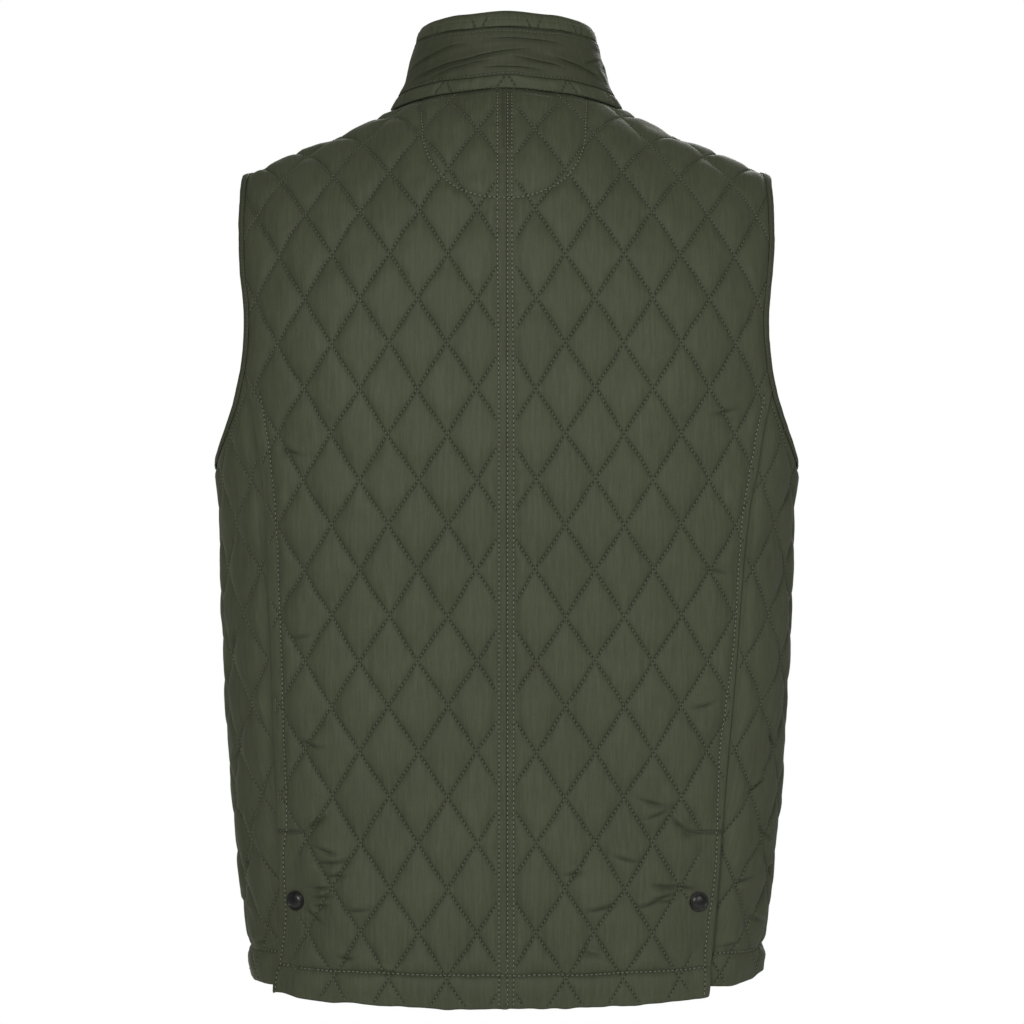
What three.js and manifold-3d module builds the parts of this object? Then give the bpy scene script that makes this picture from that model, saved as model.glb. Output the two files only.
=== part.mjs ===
// Quilted vest, filled out as when worn, with nobody in it.
// Millimetres, +Z up. The wearer faces -Y, so the back is +Y and the wearer's left is +X.
// The origin is the middle of the neck, at the height where the shoulders meet the collar.
//
// Each panel is made as a tailor makes it: the cloth is quilted flat, cut to its outline,
// and then bent round the body. Flat cloth has two measures. "across" is the length from the
// middle of the back or of the front, and "up" is the length above the yoke level.
import * as THREE from 'three';
import Module from 'manifold-3d';

const wasm = await Module();
wasm.setup();

// Cloth and seams
const seamGap = 0.3;
const wall = 2.2;
const layerGap = 0.45;
const lapGap = 1.8;

// Quilting: diamonds stitched through soft wadding
const quilt = { width: 44.5, height: 68.5, rise: 2.7, crossingUp: -56.4, fullness: 0.8 };
const seamFlat = { width: 5, fade: 12, power: 0.7 };

// Level sections of the body, at the outer face of the cloth
const sections = [
  { z: -700, halfWidth: 198.0, back: 118, front: 114 },
  { z: -651, halfWidth: 199.5, back: 118, front: 115 },
  { z: -619, halfWidth: 203.5, back: 119, front: 115 },
  { z: -580, halfWidth: 208.0, back: 119, front: 115 },
  { z: -541, halfWidth: 212.0, back: 120, front: 116 },
  { z: -462, halfWidth: 217.5, back: 121, front: 117 },
  { z: -384, halfWidth: 220.5, back: 124, front: 119 },
  { z: -306, halfWidth: 223.5, back: 127, front: 120 },
  { z: -276, halfWidth: 226.5, back: 127, front: 120 },
  { z: 60, halfWidth: 226.5, back: 127, front: 120 },
];
const sectionPower = 2.6;

// Shoulders: above the yoke level the cloth leans in to meet at a ridge, whose height falls
// outwards from the middle of the neck
const yoke = -200;
const ridge = [
  { x: -43, height: 22.6 },
  { x: 0, height: 33.5 },
  { x: 43, height: 22.6 },
  { x: 71, height: 8.6 },
  { x: 90, height: -2.5 },
  { x: 106, height: -11.5 },
  { x: 124, height: -19.5 },
  { x: 146, height: -28.9 },
  { x: 170, height: -39.0 },
  { x: 200, height: -50.5 },
  { x: 230, height: -62.0 },
];
const leanPower = { back: 2.2, front: 1.8 };

// Neck seam in plan, which spreads at the sides, and the collar that stands on it
const neck = { halfWidth: 84, spread: 6.5, back: 64, front: 80, underCollar: 3 };
const collar = {
  height: 59, sideHeight: 5.5, wall: 3.4, topHalfWidth: 67.7, topBack: 59, topFront: 70,
  bow: 0.6, spreadEnd: 0.4, columns: 40, rise: 1.3, seat: 0.95, edgeRound: 0.9,
};
const collarRows = { low: 0.09, high: 0.92, top: 0.985, inner: [0.985, 0.6, 0.25, 0] };
const collarBand = { low: 0.2, high: 0.83, wall: 1.2, rows: 4 };

// Armholes, measured on the unrolled side of the body. They widen a little where the upright
// edges pass into the curve under the arm.
const armhole = { halfWidth: 75, middle: -201, drop: 75 };
const armholeBay = { depth: 9, up: 28, span: 44 };
const binding = { width: 6, proud: 1.5, behind: 3.3, step: 13, cornerGap: 1.8, round: 1.2 };

// Back side seams: how far each lies from the middle of the back
const sideSeams = [
  { z: -700, left: 178.5, right: 152.0 },
  { z: -620, left: 174.0, right: 160.0 },
  { z: -551, left: 175.0, right: 165.0 },
  { z: -486, left: 178.0, right: 170.5 },
  { z: -430, left: 179.5, right: 175.5 },
  { z: -379, left: 181.5, right: 179.0 },
  { z: -313, left: 184.0, right: 185.0 },
  { z: -284, left: 187.0, right: 191.0 },
  { z: -254, left: 191.5, right: 196.5 },
  { z: -229, left: 196.0, right: 202.0 },
  { z: -190, left: 204.0, right: 210.0 },
];

// Hem, side vents and front lap
const hem = { middle: -690, side: -683.5, front: -678, band: 26, bandFade: 12, bandRise: 0.45 };
const vent = { top: -559, underlap: 38, ramp: 30, reach: 20 };
const lap = { beyond: 18, ramp: 24 };

// Press studs
const stud = { radius: 7.5, height: 3.4, rim: 1.1, flat: 10, fade: 30, seat: 0.7 };
const ventStud = { z: -611.5, fromEdge: 17 };
const frontStuds = { count: 6, first: -92, last: -600 };

// Steps along the edges of the panels, in millimetres, and round the curves, in radians
const step = {
  seam: 90, neck: 0.13, shoulder: 14, armhole: 9, underArm: 0.12, side: 13, vent: 14, hem: 20,
};
const neckEnd = Math.PI / 2 - 0.004;

// Largest folds of the cloth. across and up give the middle, along is the direction of the
// fold's line in degrees from level, and depth is how far it stands out.
const folds = [
  { panel: 'back_left', across: 120, up: -405, along: 8, length: 95, width: 13, depth: 1.9 },
  { panel: 'back_left', across: 88, up: -448, along: -4, length: 80, width: 11, depth: -1.5 },
  { panel: 'back_right', across: 100, up: -398, along: 10, length: 105, width: 13, depth: 1.9 },
  { panel: 'back_right', across: 70, up: -440, along: -6, length: 85, width: 12, depth: -1.6 },
  { panel: 'back_left', across: 168, up: -120, along: 66, length: 120, width: 15, depth: 1.7 },
  { panel: 'back_right', across: 172, up: -128, along: 64, length: 120, width: 15, depth: 1.7 },
  { panel: 'front_left', across: 250, up: -112, along: 28, length: 110, width: 16, depth: -2.2 },
  { panel: 'front_right', across: 250, up: -118, along: 30, length: 110, width: 16, depth: -2.2 },
  { panel: 'front_left', across: 262, up: -245, along: 14, length: 90, width: 15, depth: -1.8 },
  { panel: 'front_right', across: 258, up: -262, along: 10, length: 95, width: 15, depth: -1.8 },
  { panel: 'front_left', across: 120, up: -330, along: -12, length: 120, width: 16, depth: 1.6 },
  { panel: 'front_right', across: 128, up: -318, along: -14, length: 115, width: 16, depth: 1.6 },
];

const foldEnds = 1.5;

const { smoothstep, lerp, degToRad } = THREE.MathUtils;

// Finishes
const cloth = new THREE.MeshStandardMaterial({ color: 0x3f4434, roughness: 0.82, metalness: 0 });
const trim = new THREE.MeshStandardMaterial({ color: 0x3a3f30, roughness: 0.8, metalness: 0 });
const metal = new THREE.MeshStandardMaterial({ color: 0x1d1e1e, roughness: 0.38, metalness: 0.7 });

// A smooth curve through one column of a table, read at a value of another, here a height z
function column(table, name, value, key = 'z') {
  const last = table.length - 1;
  let i = 0;
  while (i < last - 1 && table[i + 1][key] < value) i += 1;
  const slope = (k) => {
    const a = table[Math.max(k - 1, 0)];
    const b = table[Math.min(k + 1, last)];
    return (b[name] - a[name]) / (b[key] - a[key]);
  };
  const from = table[i];
  const to = table[i + 1];
  const span = to[key] - from[key];
  const t = Math.min(Math.max((value - from[key]) / span, 0), 1);
  const t2 = t * t;
  const t3 = t2 * t;
  return (2 * t3 - 3 * t2 + 1) * from[name] + (t3 - 2 * t2 + t) * span * slope(i)
    + (3 * t2 - 2 * t3) * to[name] + (t3 - t2) * span * slope(i + 1);
}

// One quarter of a rounded section, walked from (0, depth) to (width, 0)
const quarters = new Map();

function quarter(width, depth, power) {
  const key = `${width.toFixed(3)} ${depth.toFixed(3)} ${power}`;
  if (!quarters.has(key)) {
    const steps = 160;
    const walk = [{ length: 0, x: 0, y: depth }];
    for (let i = 1; i <= steps; i += 1) {
      const angle = (i / steps) * Math.PI / 2;
      const x = width * Math.sin(angle) ** (2 / power);
      const y = depth * Math.max(Math.cos(angle), 0) ** (2 / power);
      const before = walk[i - 1];
      walk.push({ length: before.length + Math.hypot(x - before.x, y - before.y), x, y });
    }
    quarters.set(key, walk);
  }
  return quarters.get(key);
}

const lengthOf = (walk) => walk[walk.length - 1].length;

// The place on a walk where one of its measures reaches a value. y falls, the others grow.
function placeOn(walk, measure, value) {
  const falls = measure === 'y';
  let low = 0;
  let high = walk.length - 1;
  while (high - low > 1) {
    const mid = (low + high) >> 1;
    const passed = falls ? walk[mid][measure] <= value : walk[mid][measure] >= value;
    if (passed) high = mid;
    else low = mid;
  }
  const t = (value - walk[low][measure]) / (walk[high][measure] - walk[low][measure]);
  return {
    length: lerp(walk[low].length, walk[high].length, t),
    x: lerp(walk[low].x, walk[high].x, t),
    y: lerp(walk[low].y, walk[high].y, t),
  };
}

const other = { back: 'front', front: 'back' };
const outward = { back: 1, front: -1 };

const bodyQuarter = (face, z) => quarter(
  column(sections, 'halfWidth', z), column(sections, face, z), sectionPower);

// The level section's point at a length from the middle of the back or of the front
function sectionPoint(face, across, z) {
  const walk = bodyQuarter(face, z);
  const length = lengthOf(walk);
  if (across <= length) {
    const place = placeOn(walk, 'length', Math.abs(across));
    return { x: Math.sign(across) * place.x, y: outward[face] * place.y };
  }
  const beyond = bodyQuarter(other[face], z);
  const place = placeOn(beyond, 'length', Math.max(length + lengthOf(beyond) - across, 0));
  return { x: place.x, y: -outward[face] * place.y };
}

const ridgeHeight = (x) => column(ridge, 'height', Math.abs(x), 'x');

const leanWalk = (face, foot) => quarter(
  ridgeHeight(foot.x) - yoke, Math.abs(foot.y), leanPower[face]);

// A point of the worn cloth's outer face, for a point of the flat cloth
function wornPoint(face, across, up) {
  if (up <= 0) {
    const { x, y } = sectionPoint(face, across, yoke + up);
    return new THREE.Vector3(x, y, yoke + up);
  }
  const foot = sectionPoint(face, across, yoke);
  const place = placeOn(leanWalk(face, foot), 'length', up);
  return new THREE.Vector3(foot.x, outward[face] * place.y, yoke + place.x);
}

// The outward direction of the worn cloth at the same point
function wornNormal(face, across, up) {
  const reach = 1.5;
  const alongAcross = wornPoint(face, across + reach, up).sub(wornPoint(face, across - reach, up));
  const alongUp = wornPoint(face, across, up + reach).sub(wornPoint(face, across, up - reach));
  return alongUp.cross(alongAcross).multiplyScalar(outward[face]).normalize();
}

// Height of the worn cloth over a place in plan, near the neck
function shoulderHeight(x, y) {
  const face = y >= 0 ? 'back' : 'front';
  const level = bodyQuarter(face, yoke);
  const depth = placeOn(level, 'x', Math.abs(x)).y;
  const share = Math.min(Math.abs(y) / depth, 1);
  const power = leanPower[face];
  return yoke + (ridgeHeight(x) - yoke) * (1 - share ** power) ** (1 / power);
}

// Flat measures of the places where panels are cut

const acrossAt = (face, x, z) => placeOn(bodyQuarter(face, z), 'x', x).length;

function ridgeUp(face, across) {
  return lengthOf(leanWalk(face, sectionPoint(face, across, yoke)));
}

const neckHalf = (angle) => neck.halfWidth + neck.spread * Math.sin(angle) ** 2;

function neckPoint(face, angle, inset) {
  const x = (neckHalf(angle) - inset) * Math.sin(angle);
  const y = (neck[face] - inset) * Math.cos(angle);
  const across = Math.sign(x) * acrossAt(face, Math.abs(x), yoke);
  const foot = sectionPoint(face, across, yoke);
  const up = placeOn(leanWalk(face, foot), 'y', y).length;
  return { across, up };
}

const sideLength = (face, z) => lengthOf(bodyQuarter(face, z));

const bay = (up) => armholeBay.depth * Math.exp(-(((up - armholeBay.up) / armholeBay.span) ** 2));

// Half the armhole's width at a height, grown by a margin, or zero below it
function armholeHalf(z, margin) {
  const full = armhole.halfWidth + margin + bay(z - yoke);
  if (z >= armhole.middle) return full;
  const fall = (armhole.middle - z) / (armhole.drop + margin);
  return fall >= 1 ? 0 : full * Math.sqrt(1 - fall * fall);
}

// How far apart two columns of the worn cloth lie for each millimetre of flat cloth
function spread(face, across, up) {
  const reach = 1.5;
  const alongAcross = wornPoint(face, across + reach, up).sub(wornPoint(face, across - reach, up));
  const alongUp = wornPoint(face, across, up + reach).sub(wornPoint(face, across, up - reach));
  return alongUp.clone().cross(alongAcross).length() / alongUp.length() / (2 * reach);
}

// The column at a margin from the armhole's upright edge
function armholeEdge(face, up, margin) {
  const steps = 6;
  let across = sideLength(face, yoke) - armhole.halfWidth - bay(up);
  for (let i = 0; i < steps; i += 1) {
    across -= margin / steps / spread(face, across, Math.min(up, ridgeUp(face, across) - 3));
  }
  return across;
}

const seamAcross = (side, z) => acrossAt('back', column(sideSeams, side, z), z);

const hemHeight = (x) => lerp(hem.middle, hem.side, Math.min((x / sideSeams[0].left) ** 2, 1));

const span = (from, to, step) => {
  const count = Math.max(Math.round(Math.abs(to - from) / step), 1);
  return Array.from({ length: count + 1 }, (_, i) => lerp(from, to, i / count));
};

const panelMargin = binding.width + seamGap;
const half = seamGap / 2;

// Outline of half the back: middle seam, neck, shoulder, armhole, side seam and hem
function backOutline(side) {
  const points = [];
  const shoulderTop = ridgeUp('back', sideLength('back', yoke) - armhole.halfWidth - panelMargin);
  const shoulderEnd = armholeEdge('back', shoulderTop, panelMargin + binding.cornerGap);
  span(hem.middle - yoke, -20, step.seam).forEach((up) => points.push([half, up]));
  span(0, neckEnd, step.neck).forEach((angle) => {
    const { across, up } = neckPoint('back', angle, neck.underCollar);
    points.push([Math.max(across, half), up - half]);
  });
  const shoulderStart = points[points.length - 1][0];
  span(shoulderStart, shoulderEnd, step.shoulder).slice(1).forEach((across) => {
    points.push([across, ridgeUp('back', across) - half]);
  });
  span(shoulderTop - step.shoulder, step.shoulder, step.armhole).forEach((up) => {
    points.push([armholeEdge('back', up, panelMargin), up]);
  });
  span(0, hem.side - yoke, step.side).forEach((up) => {
    const z = yoke + up;
    const edge = sideLength('back', z) - armholeHalf(z, panelMargin);
    points.push([Math.min(edge, seamAcross(side, z) - half), up]);
  });
  const corner = points[points.length - 1][0];
  span(corner, half, step.hem).slice(1, -1).forEach((across) => {
    points.push([across, hemHeight(across) - yoke]);
  });
  return points;
}

// How far the front panel reaches at the back side seam
const frontReach = (side, z) => sideLength('front', z) + sideLength('back', z)
  - seamAcross(side, z) - half;

// Height at which the armhole's edge meets the back side seam
function seamTop(side) {
  let z = armhole.middle - 1;
  while (sideLength('back', z) - armholeHalf(z, panelMargin) < seamAcross(side, z)) z -= 0.5;
  return z;
}

// Outline of one front, which wraps round the side and laps under the back at the vent
function frontOutline(side) {
  const points = [];
  const shoulderTop = ridgeUp('front', sideLength('front', yoke) - armhole.halfWidth - panelMargin);
  const shoulderEnd = armholeEdge('front', shoulderTop, panelMargin + binding.cornerGap);
  const lapAngle = -Math.asin(lap.beyond / neck.halfWidth);
  const floor = hem.front - yoke;
  span(floor, -20, step.seam).forEach((up) => points.push([-lap.beyond, up]));
  span(lapAngle, neckEnd, step.neck).forEach((angle) => {
    const { across, up } = neckPoint('front', angle, neck.underCollar);
    points.push([Math.max(across, -lap.beyond), up - half]);
  });
  const shoulderStart = points[points.length - 1][0];
  span(shoulderStart, shoulderEnd, step.shoulder).slice(1).forEach((across) => {
    points.push([across, ridgeUp('front', across) - half]);
  });
  span(shoulderTop - step.shoulder, step.shoulder, step.armhole).forEach((up) => {
    points.push([armholeEdge('front', up, panelMargin), up]);
  });
  const top = seamTop(side);
  const drop = armhole.drop + panelMargin;
  const endAngle = Math.PI - Math.asin(Math.min((armhole.middle - top) / drop, 1));
  span(0, endAngle, step.underArm).forEach((angle) => {
    const z = armhole.middle - drop * Math.sin(angle);
    const fromSide = Math.sign(Math.cos(angle)) * armholeHalf(z, panelMargin);
    points.push([sideLength('front', z) - fromSide, z - yoke]);
  });
  span(top - 8, vent.top, step.side).forEach((z) => points.push([frontReach(side, z), z - yoke]));
  span(vent.top - 3, hem.front, step.vent).forEach((z) => {
    points.push([frontReach(side, z) + vent.underlap, z - yoke]);
  });
  const corner = points[points.length - 1][0];
  const bottom = span(corner, -lap.beyond, step.hem).slice(1, -1);
  bottom.forEach((across) => points.push([across, floor]));
  return points;
}

// Flat work: a quilted slab, cut to an outline

// Triangles of one face number are one flat face, and the edges between faces are kept
function toSolid(vertices, triangles, faceOf) {
  return new wasm.Manifold(new wasm.Mesh({
    numProp: 3,
    vertProperties: new Float32Array(vertices),
    triVerts: new Uint32Array(triangles),
    faceID: Uint32Array.from({ length: triangles.length / 3 }, (_, i) => faceOf(i)),
  }));
}

// A slab of whole diamonds. The upper face of each has four raised points between its
// middle and its corners, and the lower face is plain. Places are in quarter diamonds.
function quiltedSlab(box) {
  const stepX = quilt.width / 4;
  const stepY = quilt.height / 4;
  const vertices = [];
  const triangles = [];
  const known = new Map();
  const point = (u, v, height) => {
    const key = `${u} ${v} ${height}`;
    if (!known.has(key)) {
      known.set(key, vertices.length / 3);
      vertices.push(u * stepX, quilt.crossingUp + v * stepY, height);
    }
    return known.get(key);
  };
  const rim = new Map();
  const diamond = (u, v) => {
    const ways = [[1, 0], [0, 1], [-1, 0], [0, -1]];
    const raised = ways.map(([x, y]) => point(u + x, v + y, 1));
    const middle = point(u, v, 0);
    triangles.push(raised[0], raised[1], raised[2], raised[0], raised[2], raised[3]);
    ways.forEach(([x, y], k) => {
      const n = (k + 1) % 4;
      const here = [u + 2 * x, v + 2 * y];
      const next = [u + 2 * ways[n][0], v + 2 * ways[n][1]];
      const [a, b] = [point(...here, 1), point(...next, 1)];
      if (x === 0) triangles.push(a, b, raised[n], a, raised[n], raised[k]);
      else triangles.push(a, b, raised[k], b, raised[n], raised[k]);
      triangles.push(middle, point(...next, 0), point(...here, 0));
      const way = `${next} ${here}`;
      if (rim.has(way)) rim.delete(way);
      else rim.set(`${here} ${next}`, [here, next]);
    });
  };
  const low = 2 * Math.floor((box.min.y - quilt.crossingUp) / stepY / 2) - 2;
  const high = (box.max.y - quilt.crossingUp) / stepY + 4;
  const left = 2 * Math.floor(box.min.x / stepX / 2) - 2;
  const right = box.max.x / stepX + 4;
  for (let v = low; v <= high; v += 2) {
    for (let u = left; u <= right; u += 2) {
      if ((u + v) % 4 !== 0) diamond(u, v);
    }
  }
  rim.forEach(([here, next]) => {
    const [a, b, c, d] = [point(...here, 0), point(...next, 0), point(...next, 1), point(...here, 1)];
    triangles.push(a, b, c, a, c, d);
  });
  return toSolid(vertices, triangles, (i) => i);
}

// An upright prism over an outline, taller than the slab
function prism(outline) {
  const points = outline.map(([x, y]) => new THREE.Vector2(x, y));
  if (THREE.ShapeUtils.isClockWise(points)) points.reverse();
  const faces = THREE.ShapeUtils.triangulateShape(points, []);
  const count = points.length;
  const vertices = [];
  const triangles = [];
  [-1, 2].forEach((height) => points.forEach((p) => vertices.push(p.x, p.y, height)));
  faces.forEach(([a, b, c]) => {
    triangles.push(a, c, b, a + count, b + count, c + count);
  });
  for (let i = 0; i < count; i += 1) {
    const next = (i + 1) % count;
    triangles.push(i, next, next + count, i, next + count, i + count);
  }
  const ends = 2 * faces.length;
  return toSolid(vertices, triangles, (i) => (i < ends ? i % 2 : 2 + ((i - ends) >> 1)));
}

function edgeDistance(outline, x, y) {
  let nearest = Infinity;
  outline.forEach(([ax, ay], i) => {
    const [bx, by] = outline[(i + 1) % outline.length];
    const length = (bx - ax) ** 2 + (by - ay) ** 2;
    const t = Math.min(Math.max(((x - ax) * (bx - ax) + (y - ay) * (by - ay)) / length, 0), 1);
    nearest = Math.min(nearest, Math.hypot(ax + t * (bx - ax) - x, ay + t * (by - ay) - y));
  });
  return nearest;
}

// Share of the full rise of the wadding: none on a stitch line, all in a diamond's middle
function pillow(across, up) {
  const u = across / (quilt.width / 4);
  const v = (up - quilt.crossingUp) / (quilt.height / 4);
  const fromLine = (value) => Math.abs(THREE.MathUtils.euclideanModulo(value + 2, 4) - 2);
  const bulge = Math.sin(fromLine(u + v) * Math.PI / 4) * Math.sin(fromLine(u - v) * Math.PI / 4);
  return Math.min(2 * Math.max(bulge, 0), 1) ** quilt.fullness;
}

function foldRise(panel, across, up) {
  return folds.filter((fold) => fold.panel === panel).reduce((rise, fold) => {
    const turn = degToRad(fold.along);
    const x = across - fold.across;
    const y = up - fold.up;
    const along = (x * Math.cos(turn) + y * Math.sin(turn)) / (fold.length / 2);
    const over = (y * Math.cos(turn) - x * Math.sin(turn)) / fold.width;
    return rise + fold.depth * Math.exp(-foldEnds * along ** 2 - over ** 2);
  }, 0);
}

// How far a front sinks to pass under the back at the vent, and under its fellow at the lap
function sinking(side, laps, across, up) {
  const z = yoke + up;
  const depth = wall + lapGap;
  const beforeSeam = frontReach(side, Math.min(z, vent.top)) - across;
  const low = 1 - smoothstep(z, vent.top, vent.top + vent.ramp);
  const atVent = low * (1 - smoothstep(beforeSeam, 0, vent.reach));
  const atLap = laps ? 1 - smoothstep(across, lap.beyond + 4, lap.beyond + lap.ramp) : 0;
  return { shift: depth * Math.max(atVent, atLap), flat: 1 - Math.max(atVent, atLap) };
}

function toMesh(name, positions, indices, material) {
  const geometry = new THREE.BufferGeometry();
  geometry.setAttribute('position', new THREE.Float32BufferAttribute(positions, 3));
  geometry.setIndex(indices);
  geometry.computeVertexNormals();
  const mesh = new THREE.Mesh(geometry, material);
  mesh.name = name;
  return mesh;
}

// Cuts a panel out of the quilted cloth and bends it round the body
function panelMesh({ name, face, side, outline, studs, laps }) {
  const box = new THREE.Box2().setFromPoints(outline.map(([x, y]) => new THREE.Vector2(x, y)));
  const cut = quiltedSlab(box).intersect(prism(outline)).simplify(0.02);
  const { vertProperties, triVerts } = cut.getMesh();
  const mirror = side === 'left' ? 1 : -1;
  const positions = [];
  for (let i = 0; i < vertProperties.length; i += 3) {
    const [across, up, layer] = vertProperties.slice(i, i + 3);
    const outer = layer > 0.5;
    const sink = face === 'front' ? sinking(side, laps, across, up) : { shift: 0, flat: 1 };
    const nearStud = studs.reduce((share, place) => {
      const distance = Math.hypot(across - place.across, up - place.up);
      return Math.min(share, smoothstep(distance, stud.flat, stud.flat + stud.fade));
    }, 1);
    let rise = outer ? 0 : -wall;
    if (outer) {
      const fromSeam = edgeDistance(outline, across, up) - seamFlat.width;
      const fade = Math.min(Math.max(fromSeam / seamFlat.fade, 0), 1) ** seamFlat.power;
      const hemUp = yoke + up - hem.middle;
      const aboveHem = smoothstep(hemUp, hem.band, hem.band + hem.bandFade);
      const inHem = 1 - (1 - hem.bandRise) * (1 - aboveHem);
      rise += quilt.rise * pillow(across, up) * fade * nearStud * inHem * sink.flat;
    }
    rise += foldRise(name, across, up) * sink.flat * nearStud - sink.shift;
    const point = wornPoint(face, across, up).addScaledVector(wornNormal(face, across, up), rise);
    positions.push(mirror * point.x, point.y, point.z);
  }
  const indices = Array.from(triVerts);
  const turned = outward[face] * mirror > 0;
  if (turned) {
    for (let i = 0; i < indices.length; i += 3) {
      [indices[i], indices[i + 1]] = [indices[i + 1], indices[i]];
    }
  }
  return toMesh(name, positions, indices, cloth);
}

// A closed solid swept through rings of equal size, joined end to end or capped
function ringSolid(name, rings, closed, material) {
  const size = rings[0].length;
  const positions = rings.flat().flatMap((point) => point.toArray());
  const indices = [];
  const last = closed ? rings.length : rings.length - 1;
  for (let i = 0; i < last; i += 1) {
    const next = (i + 1) % rings.length;
    for (let j = 0; j < size; j += 1) {
      const k = (j + 1) % size;
      indices.push(i * size + j, next * size + j, next * size + k);
      indices.push(i * size + j, next * size + k, i * size + k);
    }
  }
  if (!closed) {
    const end = (rings.length - 1) * size;
    const climb = (k) => Math.abs(rings[0][k].z - rings[0][0].z);
    let i = 0;
    let j = size - 1;
    while (j - i > 1) {
      const lower = climb(i + 1) <= climb(j - 1);
      const third = lower ? i + 1 : j - 1;
      indices.push(i, third, j, end + i, end + j, end + third);
      if (lower) i += 1;
      else j -= 1;
    }
  }
  return toMesh(name, positions, indices, material);
}

// Binding folded over an armhole's edge, all round
function bindingMesh(side) {
  const mirror = side === 'left' ? 1 : -1;
  const reach = binding.width / 2;
  const stations = [];
  const low = armhole.middle - yoke;
  const upright = (face, from, to) => span(from, to, binding.step).forEach((up) => {
    stations.push([face, armholeEdge(face, up, reach), up]);
  });
  const top = (face) => ridgeUp(face, sideLength(face, yoke) - armhole.halfWidth - reach) - 2;
  upright('back', top('back'), low);
  const turn = binding.step / armhole.halfWidth;
  span(0, Math.PI, turn).slice(1, -1).forEach((angle) => {
    const z = armhole.middle - (armhole.drop + reach) * Math.sin(angle);
    const face = Math.cos(angle) >= 0 ? 'back' : 'front';
    stations.push([face, sideLength(face, z) - armholeHalf(z, reach), z - yoke]);
  });
  upright('front', low, top('front'));
  const centres = stations.map((station) => wornPoint(...station));
  const { proud, behind, round } = binding;
  const section = [
    [-reach, proud / 2], [-reach, round / 2 - behind], [round - reach, -behind],
    [reach - round, -behind], [reach, round - behind],
    [reach, proud - round], [reach - round, proud], [round - reach, proud],
  ];
  const rings = centres.map((centre, i) => {
    const before = centres[(i + centres.length - 1) % centres.length];
    const after = centres[(i + 1) % centres.length];
    const along = after.clone().sub(before).normalize();
    const out = wornNormal(...stations[i]);
    const inward = along.clone().cross(out).normalize();
    return section.map(([across, rise]) => {
      const point = centre.clone().addScaledVector(inward, -across).addScaledVector(out, rise);
      point.x *= mirror;
      return point;
    });
  });
  if (mirror > 0) rings.forEach((ring) => ring.reverse());
  return ringSolid(`armhole_binding_${side}`, rings, true, trim);
}

// Plan and height of the collar at a turn round the neck and a share of its height
const lapTurn = lap.beyond / neck.halfWidth;

function collarPoint(turn, share, depth) {
  const bow = collar.bow * Math.sin(share * Math.PI);
  const face = Math.cos(turn) >= 0 ? 'back' : 'front';
  const baseDepth = neck[face];
  const topDepth = face === 'back' ? collar.topBack : collar.topFront;
  const sideways = Math.sin(turn) ** 2;
  const spreading = neck.spread * sideways * (1 - smoothstep(share, 0, collar.spreadEnd));
  const halfWidth = lerp(neck.halfWidth, collar.topHalfWidth, share) + spreading - bow - depth;
  const reach = lerp(baseDepth, topDepth, share) - bow - depth;
  const baseX = (neckHalf(turn) - depth) * Math.sin(turn);
  const baseY = (baseDepth - depth) * Math.cos(turn);
  const foot = shoulderHeight(baseX, baseY);
  const beyond = 0.02;
  const fall = foot - shoulderHeight(baseX * (1 + beyond), baseY * (1 + beyond));
  const steepness = Math.hypot(1, fall / (beyond * Math.hypot(baseX, baseY)));
  const height = share * (collar.height + collar.sideHeight * sideways);
  return new THREE.Vector3(
    halfWidth * Math.sin(turn), reach * Math.cos(turn), foot + collar.seat * steepness + height);
}

// The end that tucks under sinks towards the neck
const tuck = (turn) => (collar.wall + layerGap + 0.3)
  * smoothstep(-turn, Math.PI - 2.6 * lapTurn, Math.PI - 1.2 * lapTurn);

const collarTurns = Array.from({ length: collar.columns + 1 },
  (_, i) => lerp(-Math.PI - lapTurn, Math.PI + lapTurn, i / collar.columns));
const bandRows = Array.from({ length: collarBand.rows + 1 },
  (_, j) => lerp(collarBand.low, collarBand.high, j / collarBand.rows));

function collarMesh() {
  const { low, high, top, inner } = collarRows;
  const outerRows = [0, low, ...bandRows, high, top];
  const edgeRound = (share) => (share === top ? collar.edgeRound : 0);
  const rings = [];
  for (const turn of collarTurns) {
    const sunk = tuck(turn);
    const tucked = sunk > 0.01;
    const arc = turn * (neck.halfWidth + neck.back) / 2;
    const ring = outerRows.map((share) => {
      const strip = !tucked && (share === low || share === high);
      const rise = strip ? collar.rise * pillow(arc, share * collar.height) : 0;
      return collarPoint(turn, share, sunk - rise + edgeRound(share));
    });
    ring.push(collarPoint(turn, 1, sunk + collar.wall / 2));
    inner.forEach((share) => {
      ring.push(collarPoint(turn, share, sunk + collar.wall - edgeRound(share)));
    });
    ring.push(collarPoint(turn, 0, sunk + collar.wall / 2));
    rings.push(ring.reverse());
  }
  return ringSolid('collar', rings, false, cloth);
}

// Creases of the plain band round the collar, each a soft ridge between two turns
const bandCreases = [
  { from: -0.95, to: 0.15, low: 0.28, high: 0.66, width: 0.09, depth: 1.5 },
  { from: -0.85, to: -0.1, low: 0.42, high: 0.3, width: 0.07, depth: 0.9 },
  { from: 0.1, to: 0.75, low: 0.62, high: 0.42, width: 0.08, depth: 1.3 },
  { from: 0.85, to: 1.2, low: 0.5, high: 0.34, width: 0.07, depth: 1.2 },
  { from: 1.6, to: 2.6, low: 0.36, high: 0.58, width: 0.09, depth: 1.3 },
  { from: -2.5, to: -1.5, low: 0.6, high: 0.38, width: 0.09, depth: 1.3 },
];

function creaseRise(turn, share) {
  return bandCreases.reduce((rise, crease) => {
    const t = (turn - crease.from) / (crease.to - crease.from);
    if (t <= 0 || t >= 1) return rise;
    const over = (share - lerp(crease.low, crease.high, t)) / crease.width;
    return rise + crease.depth * Math.sin(t * Math.PI) * Math.exp(-(over ** 2));
  }, 0);
}

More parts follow.
